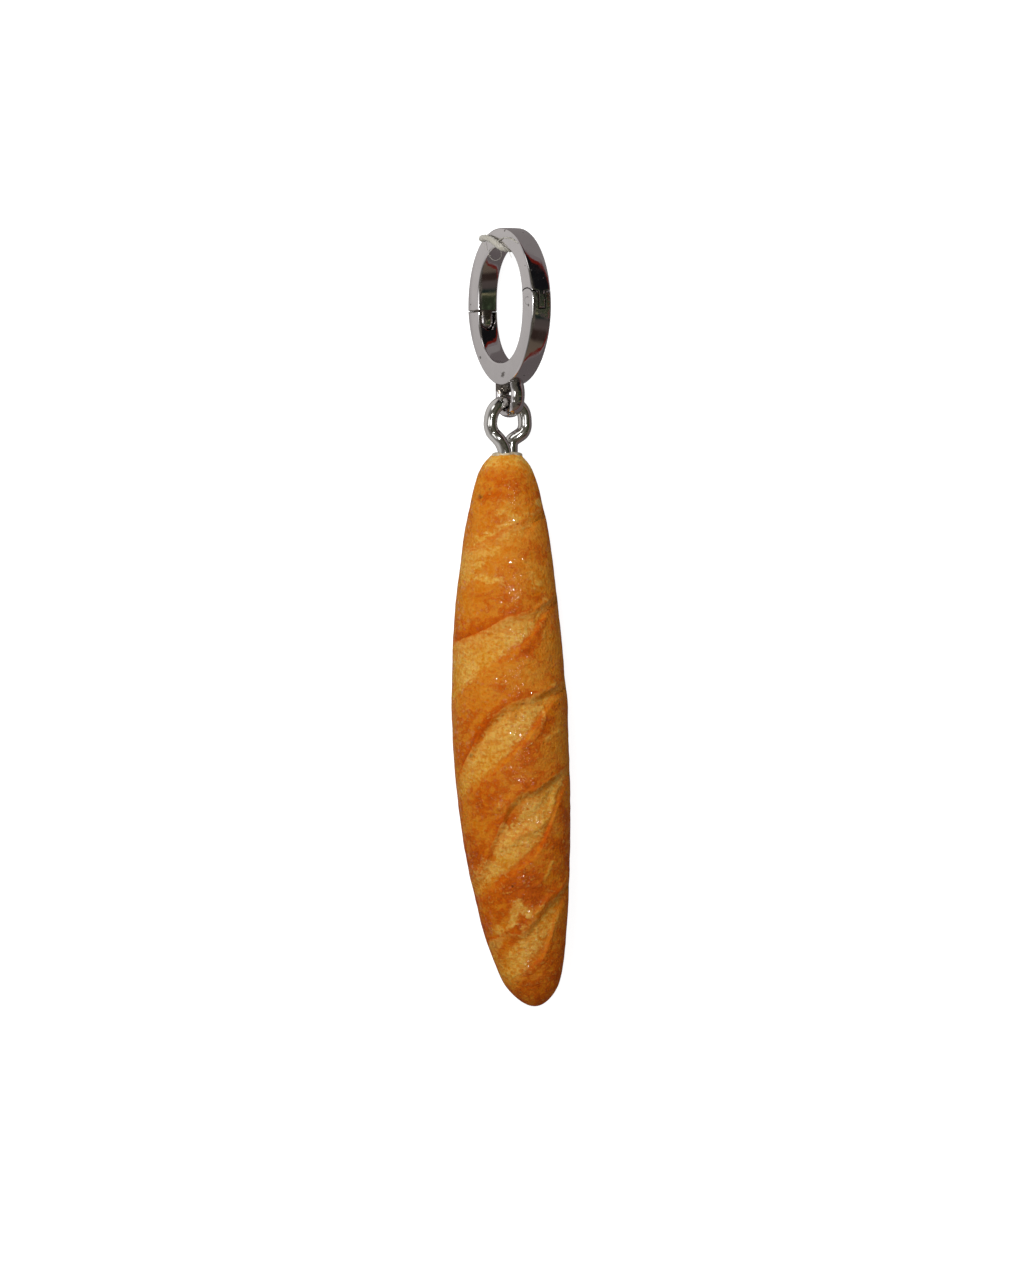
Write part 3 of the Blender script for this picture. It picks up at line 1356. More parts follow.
@dataclass
class GlueCollar:
    """Lumpy glue round the legs of the eye, where they enter the loaf."""

    middle: float = 0.1
    along: float = 1.42
    across: float = 1.08
    low: float = 14.42
    high: float = 14.95
    power: float = 2.8
    lump: float = 0.14
    lump_size: float = 0.7
    columns: int = 96
    rings: int = 26

    def build(self, eye: Matrix, shift: Vector, material: bpy.types.Material) -> bpy.types.Object:
        """Make the collar.

        Args:
            eye: Where the eye's plane stands.
            shift: Where the origin of these sizes lies in the part's frame.
            material: Its finish.

        Returns:
            The collar.
        """
        turn = turns(self.columns)
        rise = np.linspace(-0.5, 0.5, self.rings) * np.pi
        middle_y = 0.5 * (self.low + self.high)
        tall = 0.5 * (self.high - self.low)
        wide = squared(np.cos(rise), self.power)[:, None]
        level = middle_y + tall * squared(np.sin(rise), self.power)
        rows = np.stack(
            [
                self.middle + self.along * wide * np.cos(turn)[None, :],
                np.broadcast_to(level[:, None], (self.rings, self.columns)),
                self.across * wide * np.sin(turn)[None, :],
            ],
            axis=2,
        )
        lumps = cloud(rows.reshape(-1, 3), self.lump_size, 41, 3).reshape(self.rings, self.columns)
        centre = np.array([self.middle, middle_y, 0.0])
        rows = centre + (rows - centre) * (1.0 + self.lump * lumps[:, :, None])
        rows[:, :, 1] += shift.y - eye.translation.y
        world = placed(rows, eye)
        mesh = tube_mesh("lumpy_glue", world, world[0].mean(axis=0), world[-1].mean(axis=0))
        mesh.shade_smooth()
        mesh.materials.append(material)
        collar = new_object("lumpy_glue", mesh)
        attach(collar, "loaf")
        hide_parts("glue_collar")
        return collar


# ---- the clasp


@dataclass
class Clasp:
    """The hinged oval clasp in its own frame: X across, Y to the top, Z out of the front face.

    The far ends of the tools that cut it lie beyond its faces and sides by the overshoot.
    """

    width: float = 10.8
    height: float = 14.28
    thickness: float = 2.14
    edge: float = 0.2
    crown: float = 0.022
    open_width: float = 7.3
    open_top: float = 5.45
    open_bottom: float = 5.1
    open_power: float = 2.25
    upper_powers: Point = (2.1, 1.98)
    lower_powers: Point = (1.8, 1.95)
    slide: float = -0.22
    hinge: Point = (4.55, 0.43)
    pin_radius: float = 0.36
    pin_hole: float = 0.37
    knuckle: float = 1.12
    tongue: float = 1.02
    leaf: float = 0.66
    seam_y: float = -0.37
    seam_gap: float = 0.12
    catch_outer: float = -4.9
    catch_inner: float = -3.66
    catch_round: float = 0.4
    catch_width: float = 1.42
    catch_tip: float = -2.05
    catch_gap: float = 0.08
    fit_gap: float = 0.11
    bail_y: float = -8.55
    bail_outer: float = 1.54
    bail_hole: float = 0.84
    bail_length: float = 1.42
    bail_power: float = 2.0
    leg_top: float = -6.6
    solder_at: Point = (-0.66, 1.34)
    solder_size: tuple[float, float, float] = (0.84, 0.6, 0.68)
    wire_hang: float = 0.1
    overshoot: float = 1.0
    broken_edge: float = 0.008
    pin_edge: float = 0.003
    around: int = 256
    corner_steps: int = 4
    face_steps: int = 4

    def outline(self, angle: Array) -> Array:
        """Draw the outer outline.

        Args:
            angle: Angles from the hinge side, in radians.

        Returns:
            One point of the outline for each angle.
        """
        c, s = np.cos(angle), np.sin(angle)
        upper = np.where(c < 0, *self.upper_powers)
        lower = np.where(c < 0, *self.lower_powers)
        power = np.where(s >= 0, upper, lower)
        return np.stack([self.width / 2 * squared(c, power), self.height / 2 * squared(s, power)], axis=1)

    def opening(self, angle: Array) -> Array:
        """Draw the outline of the opening.

        Args:
            angle: Angles from the hinge side, in radians.

        Returns:
            One point of the outline for each angle.
        """
        middle = (self.open_top - self.open_bottom) / 2
        half = (self.open_top + self.open_bottom) / 2
        c, s = squared(np.cos(angle), self.open_power), squared(np.sin(angle), self.open_power)
        return np.stack([self.open_width / 2 * c, middle + half * s], axis=1)

    def ring(self) -> bpy.types.Mesh:
        """Make the whole oval band, with rounded edges and slightly crowned sides.

        Returns:
            The closed mesh.
        """
        angle = turns(self.around)
        outer, inner = self.outline(angle), self.opening(angle)
        band = np.linalg.norm(outer - inner, axis=1)[:, None]
        way = (outer - inner) / band
        half = self.thickness / 2
        arc = np.linspace(0.0, np.pi / 2, self.corner_steps + 1)
        cross = np.linspace(-1.0, 1.0, self.face_steps + 2)[1:-1]
        bulge = self.crown * (1.0 - cross**2)
        flat = half - self.edge
        ones = np.ones_like(arc)
        # Each entry holds (share of the band, millimetres outwards from there, height).
        section = [
            *zip(ones, -self.edge + self.edge * np.sin(arc), -flat - self.edge * np.cos(arc)),
            *zip(np.ones_like(cross), bulge, flat * cross),
            *zip(ones, -self.edge + self.edge * np.cos(arc), flat + self.edge * np.sin(arc)),
            *zip(0 * ones, self.edge - self.edge * np.sin(arc), flat + self.edge * np.cos(arc)),
            *zip(np.zeros_like(cross), -bulge, -flat * cross),
            *zip(0 * ones, self.edge - self.edge * np.cos(arc), -flat - self.edge * np.sin(arc)),
        ]
        share, out, height = np.array(section).T
        plane = inner[:, None, :] + way[:, None, :] * (band * share[None, :] + out[None, :])[:, :, None]
        deep = np.broadcast_to(height, plane.shape[:2])
        return tube_mesh("ring", np.concatenate([plane, deep[:, :, None]], axis=2), None, None)

    def half_mask(self, side: float) -> bpy.types.Mesh:
        """Fill one side of the stepped line between the halves.

        Args:
            side: 1 for everything above it, -1 for everything below.

        Returns:
            The closed mesh.
        """
        far, beyond, clear = side * 10.0, 10.0, side * self.seam_gap / 2
        step = [
            (-beyond, self.seam_y + clear), (0.0, self.seam_y + clear),
            (0.0, self.hinge[1] + clear), (beyond, self.hinge[1] + clear),
        ]
        outline = [*step, (beyond, far), (-beyond, far)]
        return prism(np.array(outline if side > 0 else outline[::-1]), -beyond, beyond)

    def catch(self, grow: float, outer: float, inner: float, top: float) -> bpy.types.Mesh:
        """Slab with a rounded tip along the band: the catch, or the slot that takes it.

        Args:
            grow: How much wider it is than the catch.
            outer: Its outer X.
            inner: Its inner X.
            top: Its upper Y.

        Returns:
            The closed mesh.
        """
        half = self.catch_width / 2 + grow
        tip = self.catch_tip - grow
        turn = np.linspace(np.pi, 2 * np.pi, 25)
        arc = np.stack([half * np.cos(turn), tip + half + half * np.sin(turn)], axis=1)
        outline = np.array([(half, top), (-half, top), *arc])
        mesh = prism(outline, outer, inner)
        mesh.transform(Matrix(((0, 0, 1, 0), (0, 1, 0, 0), (-1, 0, 0, 0), (0, 0, 0, 1))))
        return mesh

    def gate(self, ring: bpy.types.Mesh) -> bpy.types.Mesh:
        """Make the upper half, with the hinge's tongue and the catch.

        Args:
            ring: The whole band.

        Returns:
            The closed mesh.
        """
        far = self.thickness / 2 + self.overshoot
        tongue_z = self.thickness / 2 - self.leaf - self.fit_gap
        clear = self.knuckle + self.fit_gap
        reach = math.hypot(self.hinge[0] - self.catch_outer, self.hinge[1] - self.seam_y)
        tongue = combine(ring.copy(), disc(self.hinge, self.tongue, -tongue_z, tongue_z), "INTERSECT")
        slab = self.catch(0.0, self.catch_outer - 0.5, self.catch_inner, self.seam_y + self.overshoot)
        catch = combine(
            self.rounded(slab, self.catch_inner, self.catch_round),
            disc(self.hinge, reach, -far, far, 400),
            "INTERSECT",
        )
        mesh = combine(ring.copy(), self.half_mask(1), "INTERSECT")
        mesh = combine(mesh, disc(self.hinge, clear, tongue_z, far), "DIFFERENCE")
        mesh = combine(mesh, disc(self.hinge, clear, -far, -tongue_z), "DIFFERENCE")
        mesh = combine(mesh, tongue, "UNION")
        mesh = combine(mesh, disc(self.hinge, self.pin_hole, -far, far), "DIFFERENCE")
        return combine(combine(mesh, self.plug(), "UNION"), catch, "UNION")

    def plug(self) -> bpy.types.Mesh:
        """Make the low step that closes the seam from inside, so that only a groove shows.

        Returns:
            The closed mesh.
        """
        left, right = self.catch_outer - 0.32, self.catch_inner - 0.05
        low, high = self.seam_y - self.seam_gap / 2 + 0.03, self.seam_y + 0.6
        outline = np.array([(left, low), (right, low), (right, high), (left, high)])
        return prism(outline, -0.95, 0.95)

    @staticmethod
    def rounded(mesh: bpy.types.Mesh, level: float, width: float) -> bpy.types.Mesh:
        """Round the edges of the face that lies at one X.

        Args:
            mesh: The mesh, which is changed in place.
            level: X of the face.
            width: Width of the rounding.

        Returns:
            The same mesh.
        """
        with reworked(mesh) as work:
            edges = [edge for edge in work.edges if all(abs(v.co.x - level) < 1e-4 for v in edge.verts)]
            bmesh.ops.bevel(work, geom=edges, offset=width, segments=4, profile=0.5, affect="EDGES")
        return mesh

    def body(self, ring: bpy.types.Mesh) -> bpy.types.Mesh:
        """Make the lower half, with the hinge's leaves, the slot of the catch and the bail.

        Args:
            ring: The whole band.

        Returns:
            The closed mesh.
        """
        far = self.thickness / 2 + self.overshoot
        leaf_z = self.thickness / 2 - self.leaf
        y = self.hinge[1]
        corner = np.array([(0, y), (10, y), (10, 10), (0, 10)], float)
        leaves = combine(ring.copy(), disc(self.hinge, self.knuckle, -far, far), "INTERSECT")
        mesh = combine(ring.copy(), self.half_mask(-1), "INTERSECT")
        mesh = combine(mesh, leaves, "UNION")
        mesh = combine(mesh, disc(self.hinge, self.tongue + self.fit_gap, -leaf_z, leaf_z), "DIFFERENCE")
        mesh = combine(mesh, prism(corner, -leaf_z, leaf_z), "DIFFERENCE")
        mesh = combine(mesh, disc(self.hinge, self.pin_hole, -far, far), "DIFFERENCE")
        slot = self.catch(
            self.catch_gap,
            self.catch_outer - self.catch_gap,
            -self.open_width / 2 + self.overshoot,
            self.seam_y + self.overshoot,
        )
        mesh = combine(mesh, slot, "DIFFERENCE")
        return combine(combine(mesh, self.bail(), "UNION"), self.solder(), "UNION")

    def bail(self) -> bpy.types.Mesh:
        """Make the bail: a strip bent round the wire, with both legs running up into the band.

        Returns:
            The closed mesh.
        """
        middle = (self.bail_outer + self.bail_hole) / 2
        radial, axial = (self.bail_outer - self.bail_hole) / 2, self.bail_length / 2
        turn = turns(32)
        out = radial * squared(np.cos(turn), self.bail_power)
        high = axial * squared(np.sin(turn), self.bail_power)
        leg_steps, arc_steps = 8, 61
        bend = np.linspace(np.pi, 2 * np.pi, arc_steps)
        spin = np.concatenate([np.full(leg_steps, np.pi), bend, np.full(leg_steps, 2 * np.pi)])
        climb = np.linspace(self.leg_top - self.bail_y, 0.0, leg_steps + 1)[:leg_steps]
        rise = np.concatenate([climb, np.zeros(arc_steps), climb[::-1]])
        reach = rise / (self.leg_top - self.bail_y)
        bulge = np.where(np.cos(spin) > 0, 0.14 * np.cos(spin) ** 2 + 0.5 * reach - 0.85 * reach**2, 0.0)
        rows = np.stack(
            [
                np.cos(spin)[:, None] * (middle + bulge[:, None] + out[None, :]),
                self.bail_y + rise[:, None] + np.sin(spin)[:, None] * (middle + out)[None, :],
                np.broadcast_to(high, (len(spin), len(turn))),
            ],
            axis=2,
        )
        return tube_mesh("bail", rows, rows[0].mean(axis=0), rows[-1].mean(axis=0))

    def solder(self) -> bpy.types.Mesh:
        """Make the rough lump of solder that fills one side of the bail.

        Returns:
            The closed mesh.
        """
        mesh = bpy.data.meshes.new("solder")
        middle = Vector((self.solder_at[0], self.bail_y + self.solder_at[1], 0.0))
        with reworked(mesh) as work:
            bmesh.ops.create_uvsphere(work, u_segments=64, v_segments=32, radius=1.0)
            bmesh.ops.scale(work, vec=self.solder_size, verts=work.verts)
            lumps = cloud(np.array([vertex.co for vertex in work.verts]), 0.28, 61, 3)
            for vertex, lump in zip(work.verts, lumps):
                vertex.co = middle + vertex.co * (1.0 + 0.16 * float(lump))
        return mesh

    def pin(self) -> bpy.types.Mesh:
        """Make the hinge pin with its slightly domed, filed ends.

        Returns:
            The closed mesh.
        """
        half = self.thickness / 2 - 0.004
        levels = [(0.0, -half), (0.6, -half), (0.97, -half + 0.002), (1.0, -half + 0.02)]
        profile = levels + [(r, -z) for r, z in reversed(levels)]
        turn = turns(64)
        x, y = self.hinge
        rows = np.array([
            [
                (x + self.pin_radius * r * c, y + self.pin_radius * r * s, z)
                for c, s in zip(np.cos(turn), np.sin(turn))
            ]
            for r, z in profile[1:-1]
        ])
        ends = [np.array([*self.hinge, profile[k][1]]) for k in (0, -1)]
        return tube_mesh("pin", rows, *ends)

    def finished(self, mesh: bpy.types.Mesh, name: str, frame: Matrix, bevel: float) -> bpy.types.Mesh:
        """Break the sharp edges of a piece and bring it to its place.

        Args:
            mesh: The piece in the clasp's own frame, in millimetres.
            name: Its name.
            frame: Where the clasp's frame lies.
            bevel: Width of the broken edges.

        Returns:
            The finished mesh, in metres.
        """
        with reworked(mesh) as work:
            bmesh.ops.remove_doubles(work, verts=work.verts, dist=0.002)
            bmesh.ops.dissolve_degenerate(work, edges=work.edges, dist=0.002)
        piece = new_object(name, mesh)
        broken = piece.modifiers.new("broken edges", "BEVEL")
        broken.width = bevel
        broken.segments = 2
        broken.limit_method = "ANGLE"
        broken.angle_limit = math.radians(38)
        done = evaluated(piece, name)
        lump = np.array([self.solder_at[0] - 0.1, self.bail_y + self.solder_at[1], 0.0])
        points = np.array([vertex.co for vertex in done.vertices])
        away = np.linalg.norm((points - lump) / (1.0, 0.8, 0.9), axis=1)
        in_seam = (np.abs(points[:, 1] - self.seam_y) < self.seam_gap / 2 + 0.003) & (points[:, 0] < 0)
        store(done, "dull", np.maximum(smooth_step(1.15, 0.85, away), in_seam))
        done.transform(frame)
        done.transform(Matrix.Scale(MM, 4))
        shade(done, 42.0)
        piece = new_object(name, done)
        weighted = piece.modifiers.new("flat faces", "WEIGHTED_NORMAL")
        weighted.keep_sharp = True
        weighted.weight = 80
        return evaluated(piece, name)

    def build(
        self, frame: Matrix, plating: bpy.types.Material, steel: bpy.types.Material
    ) -> list[bpy.types.Object]:
        """Make the clasp's three metal pieces.

        Args:
            frame: Where the clasp's frame lies.
            plating: Finish of the two halves.
            steel: Finish of the pin.

        Returns:
            The body, the gate and the pin.
        """
        ring = self.ring()
        edge = self.broken_edge
        plan = (
            ("oval_body", self.body(ring), plating, "clasp", "clasp_body", "plated_clasp", edge),
            ("oval_gate", self.gate(ring), plating, "gate", "clasp_gate", "plated_clasp", edge),
            ("filed_pin", self.pin(), steel, "clasp", "hinge_pin", "hinge_steel", self.pin_edge),
        )
        pieces = []
        for name, mesh, material, body, node, slot, bevel in plan:
            done = self.finished(mesh, name, frame, bevel)
            done.materials.clear()
            done.materials.append(material)
            piece = new_object(name, done)
            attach(piece, body)
            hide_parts(node)
            pieces.append(piece)
        return pieces


# ---- thread


class GeometryTree:
    """A Geometry Nodes tree with named inputs, which works on one mesh."""

    def __init__(self, name: str, inputs: Sequence[tuple[str, str]]) -> None:
        """Start the tree.

        Args:
            name: Its name.
            inputs: The name and socket type of each input after the geometry.
        """
        self.tree = bpy.data.node_groups.new(name, "GeometryNodeTree")
        self.tree.interface.new_socket("Geometry", in_out="INPUT", socket_type="NodeSocketGeometry")
        for label, kind in inputs:
            self.tree.interface.new_socket(label, in_out="INPUT", socket_type=kind)
        self.tree.interface.new_socket("Geometry", in_out="OUTPUT", socket_type="NodeSocketGeometry")
        self.given = self.tree.nodes.new("NodeGroupInput").outputs
        self.result = self.tree.nodes.new("NodeGroupOutput")

    def add(self, kind: str, inputs: dict[str | int, Any] | None = None, **settings: Any) -> Any:
        """Add a node."""
        return put(self.tree, kind, inputs, **settings)

    def calculate(self, operation: str, *values: Any) -> Any:
        """Output of a Math node."""
        return maths(self.tree, operation, *values)

    def vector(self, operation: str, *values: Any) -> Any:
        """Output of a Vector Math node. The last value of SCALE is its factor."""
        inputs = {0: values[0], "Scale": values[1]} if operation == "SCALE" else dict(enumerate(values))
        return self.add("ShaderNodeVectorMath", inputs, operation=operation).outputs[0]

    def finish(self, geometry: Any, material: Any) -> None:
        """End the tree in Realize Instances and Set Material.

        Args:
            geometry: Output socket with the finished geometry.
            material: Output socket with its material.
        """
        real = self.add("GeometryNodeRealizeInstances", {0: geometry}).outputs[0]
        dressed = self.add("GeometryNodeSetMaterial", {"Geometry": real, "Material": material}).outputs[0]
        self.tree.links.new(dressed, self.result.inputs[0])

    def run(self, host: bpy.types.Object, values: dict[str, Any], name: str) -> bpy.types.Mesh:
        """Run the tree on an object and keep the result as a plain mesh.

        Args:
            host: Object with the mesh that the tree starts from. It is removed.
            values: Value of each named input.
            name: Name of the new mesh.

        Returns:
            The mesh.
        """
        modifier = host.modifiers.new(self.tree.name, "NODES")
        modifier.node_group = self.tree
        for item in self.tree.interface.items_tree:
            if item.in_out == "INPUT" and item.name in values:
                modifier[item.identifier] = values[item.name]
        return evaluated(host, name)


def yarn_tree() -> GeometryTree:
    """Build the tree that twists plies round a line and gives them short stray fibres.

    Returns:
        The tree.
    """
    tree = GeometryTree(
        "twisted yarn",
        (
            ("Ply Offset", "NodeSocketFloat"),
            ("Ply Radius", "NodeSocketFloat"),
            ("Plies", "NodeSocketInt"),
            ("Lay Length", "NodeSocketFloat"),
            ("Fibres", "NodeSocketFloat"),
            ("Fibre Length", "NodeSocketFloat"),
            ("Fibre Radius", "NodeSocketFloat"),
            ("Seed", "NodeSocketInt"),
            ("Material", "NodeSocketMaterial"),
        ),
    )
    given = tree.given
    line = tree.add("GeometryNodeMeshToCurve", {0: given["Geometry"]}).outputs[0]
    line = tree.add("GeometryNodeSetCurveNormal", {0: line}).outputs[0]
    amount = {"Geometry": line, "Amount": given["Plies"]}
    copies = tree.add("GeometryNodeDuplicateElements", amount, domain="SPLINE")
    travel = tree.add("GeometryNodeSplineParameter").outputs["Length"]
    part = tree.calculate("DIVIDE", copies.outputs["Duplicate Index"], given["Plies"])
    twist = tree.calculate("DIVIDE", travel, given["Lay Length"])
    turn = tree.calculate("MULTIPLY", tree.calculate("ADD", part, twist), math.tau)
    normal = tree.add("GeometryNodeInputNormal").outputs[0]
    tangent = tree.add("GeometryNodeInputTangent").outputs[0]
    across = tree.vector("CROSS_PRODUCT", tangent, normal)
    offset = tree.vector(
        "ADD",
        tree.vector("SCALE", normal, tree.calculate("COSINE", turn)),
        tree.vector("SCALE", across, tree.calculate("SINE", turn)),
    )
    moved = tree.add(
        "GeometryNodeSetPosition",
        {"Geometry": copies.outputs["Geometry"], "Offset": tree.vector("SCALE", offset, given["Ply Offset"])},
    ).outputs[0]
    profile = tree.add("GeometryNodeCurvePrimitiveCircle", {"Resolution": 8, "Radius": given["Ply Radius"]})
    plies = tree.add(
        "GeometryNodeCurveToMesh", {"Curve": moved, "Profile Curve": profile.outputs[0], "Fill Caps": True}
    ).outputs[0]
    spread = tree.add(
        "GeometryNodeDistributePointsOnFaces",
        {"Mesh": plies, "Density": given["Fibres"], "Seed": given["Seed"]},
    )
    fibre = tree.add(
        "GeometryNodeMeshCone",
        {
            "Vertices": 3,
            "Radius Top": 0.0,
            "Radius Bottom": given["Fibre Radius"],
            "Depth": given["Fibre Length"],
        },
    ).outputs[0]
    lean = tree.add(
        "FunctionNodeRandomValue",
        {0: (-1.3, -1.3, -3.1), 1: (1.3, 1.3, 3.1), "Seed": given["Seed"]},
        data_type="FLOAT_VECTOR",
    ).outputs[0]
    upright = {0: spread.outputs["Rotation"], 1: lean}
    leaned = tree.add("FunctionNodeRotateRotation", upright, rotation_space="LOCAL").outputs[0]
    size = tree.add("FunctionNodeRandomValue", {2: 0.35, 3: 1.0, "Seed": given["Seed"]}).outputs[1]
    fuzz = tree.add(
        "GeometryNodeInstanceOnPoints",
        {"Points": spread.outputs["Points"], "Instance": fibre, "Rotation": leaned, "Scale": size},
    ).outputs[0]
    joined = tree.add("GeometryNodeJoinGeometry", {0: plies})
    tree.tree.links.new(fuzz, joined.inputs[0])
    tree.finish(joined.outputs[0], given["Material"])
    return tree


@dataclass
class ThreadTie:
    """Scrap of twisted cotton wound aslant round the gate's band, with a frayed end and fibres.

    The offset and the radius of its plies are shares of the thread's radius.
    """

    radius: float = 0.29
    outer_at: float = 123.5
    inner_at: float = 84.0
    start: float = -0.22
    turns: float = 0.94
    gap: float = -0.08
    power: float = 5.0
    plies: int = 3
    lay: float = 1.3
    fibres_per_mm2: float = 14.0
    fibre_length: float = 0.42
    fibre_radius: float = 0.009
    ply_offset: float = 0.42
    ply_radius: float = 0.62
    seed: int = 4
    yellowed: tuple[Place, ...] = (
        (-0.7, 5.65, 1.25), (-0.29, 5.87, 1.2), (0.7, 6.2, 1.14), (2.0, 6.1, 1.12), (3.1, 5.7, 1.1),
    )
    stray: tuple[tuple[Place, ...], ...] = (
        ((-0.6, 5.35, 1.2), (-1.7, 5.15, 1.1), (-1.85, 4.6, 1.0), (-0.9, 4.2, 0.95), (0.1, 4.5, 1.0),
         (0.2, 5.1, 1.1), (-0.5, 5.5, 1.2)),
        ((-2.6, 5.9, 1.3), (-2.1, 5.2, 1.1), (-2.3, 4.9, 1.0), (-1.7, 4.6, 0.9)),
        ((0.6, 5.6, 1.3), (1.6, 5.0, 1.15), (2.0, 4.4, 1.1)),
    )

    def winding(self, clasp: Clasp) -> Array:
        """Wind the middle of the thread round the band.

        Args:
            clasp: The clasp that it is wound on.

        Returns:
            Its points in the clasp's frame.
        """
        a = 2 * np.pi * (self.start + np.linspace(0.0, self.turns, 240))
        half_turn = np.floor(a / np.pi)
        share = half_turn + (1.0 - squared(np.cos(a - half_turn * np.pi), self.power)) / 2
        place = np.radians(self.outer_at + (self.inner_at - self.outer_at) * share)
        inner = clasp.opening(place)
        outward = clasp.outline(place) - inner
        half = np.linalg.norm(outward, axis=1) / 2
        clear = self.gap + self.radius
        reach = half + (half + clear) * squared(np.cos(a), self.power)
        plane = inner + outward * (reach / (2 * half))[:, None]
        deep = (clasp.thickness / 2 + clear) * squared(np.sin(a), self.power)
        return np.concatenate([plane, deep[:, None]], axis=1)

    @staticmethod
    def evenly(points: Array, step: float) -> Array:
        """Space points evenly along a smooth curve through a few.

        Args:
            points: Points that the curve goes through.
            step: Distance between the new points.

        Returns:
            The new points.
        """
        travel = np.concatenate([[0.0], np.cumsum(np.linalg.norm(np.diff(points, axis=0), axis=1))])
        place = np.linspace(0.0, travel[-1], max(8, int(travel[-1] / step)))
        return np.stack([through(zip(travel, points[:, k]), place) for k in range(3)], axis=1)

    @staticmethod
    def strand(
        tree: GeometryTree, line: Array, frame: Matrix, values: dict[str, Any], name: str
    ) -> bpy.types.Mesh:
        """Make one strand.

        Args:
            tree: The yarn tree.
            line: Middle of the strand, in the clasp's frame.
            frame: Where that frame lies.
            values: The tree's inputs.
            name: Name of the mesh.

        Returns:
            The strand.
        """
        mesh = bpy.data.meshes.new(name)
        edges = [(i, i + 1) for i in range(len(line) - 1)]
        mesh.from_pydata(placed(line, frame).tolist(), edges, [])
        return tree.run(new_object(name, mesh), values, name)

    def build(self, clasp: Clasp, frame: Matrix, material: bpy.types.Material) -> bpy.types.Object:
        """Make the thread.

        Args:
            clasp: The clasp that it is wound on.
            frame: Where the clasp's frame lies.
            material: Its finish.

        Returns:
            The thread.
        """
        tree = yarn_tree()
        yarn = {
            "Ply Offset": self.ply_offset * self.radius * MM,
            "Ply Radius": self.ply_radius * self.radius * MM,
            "Plies": self.plies,
            "Lay Length": self.lay * MM,
            "Fibres": self.fibres_per_mm2 / MM**2,
            "Fibre Length": self.fibre_length * MM,
            "Fibre Radius": self.fibre_radius * MM,
            "Seed": self.seed,
            "Material": material,
        }
        thin = {**yarn, "Ply Offset": 0.035 * MM, "Ply Radius": 0.035 * MM, "Plies": 2, "Seed": 9}
        loose = {**yarn, "Ply Offset": 0.0, "Ply Radius": 0.016 * MM, "Plies": 1, "Fibres": 0.0}
        meshes = [
            self.strand(tree, self.evenly(self.winding(clasp), 0.06), frame, yarn, "winding"),
            self.strand(tree, self.evenly(np.array(self.yellowed), 0.06), frame, thin, "yellowed"),
        ]
        for number, points in enumerate(self.stray):
            line = self.evenly(np.array(points), 0.08)
            meshes.append(self.strand(tree, line, frame, {**loose, "Seed": number}, f"stray_{number}"))
        joined = bpy.data.meshes.new("twisted_thread")
        with reworked(joined) as work:
            for mesh in meshes:
                work.from_mesh(mesh)
        joined.materials.append(material)
        shade(joined, 70.0)
        thread = new_object("twisted_thread", joined)
        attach(thread, "gate")
        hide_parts("thread_tie")
        return thread


# ---- studio


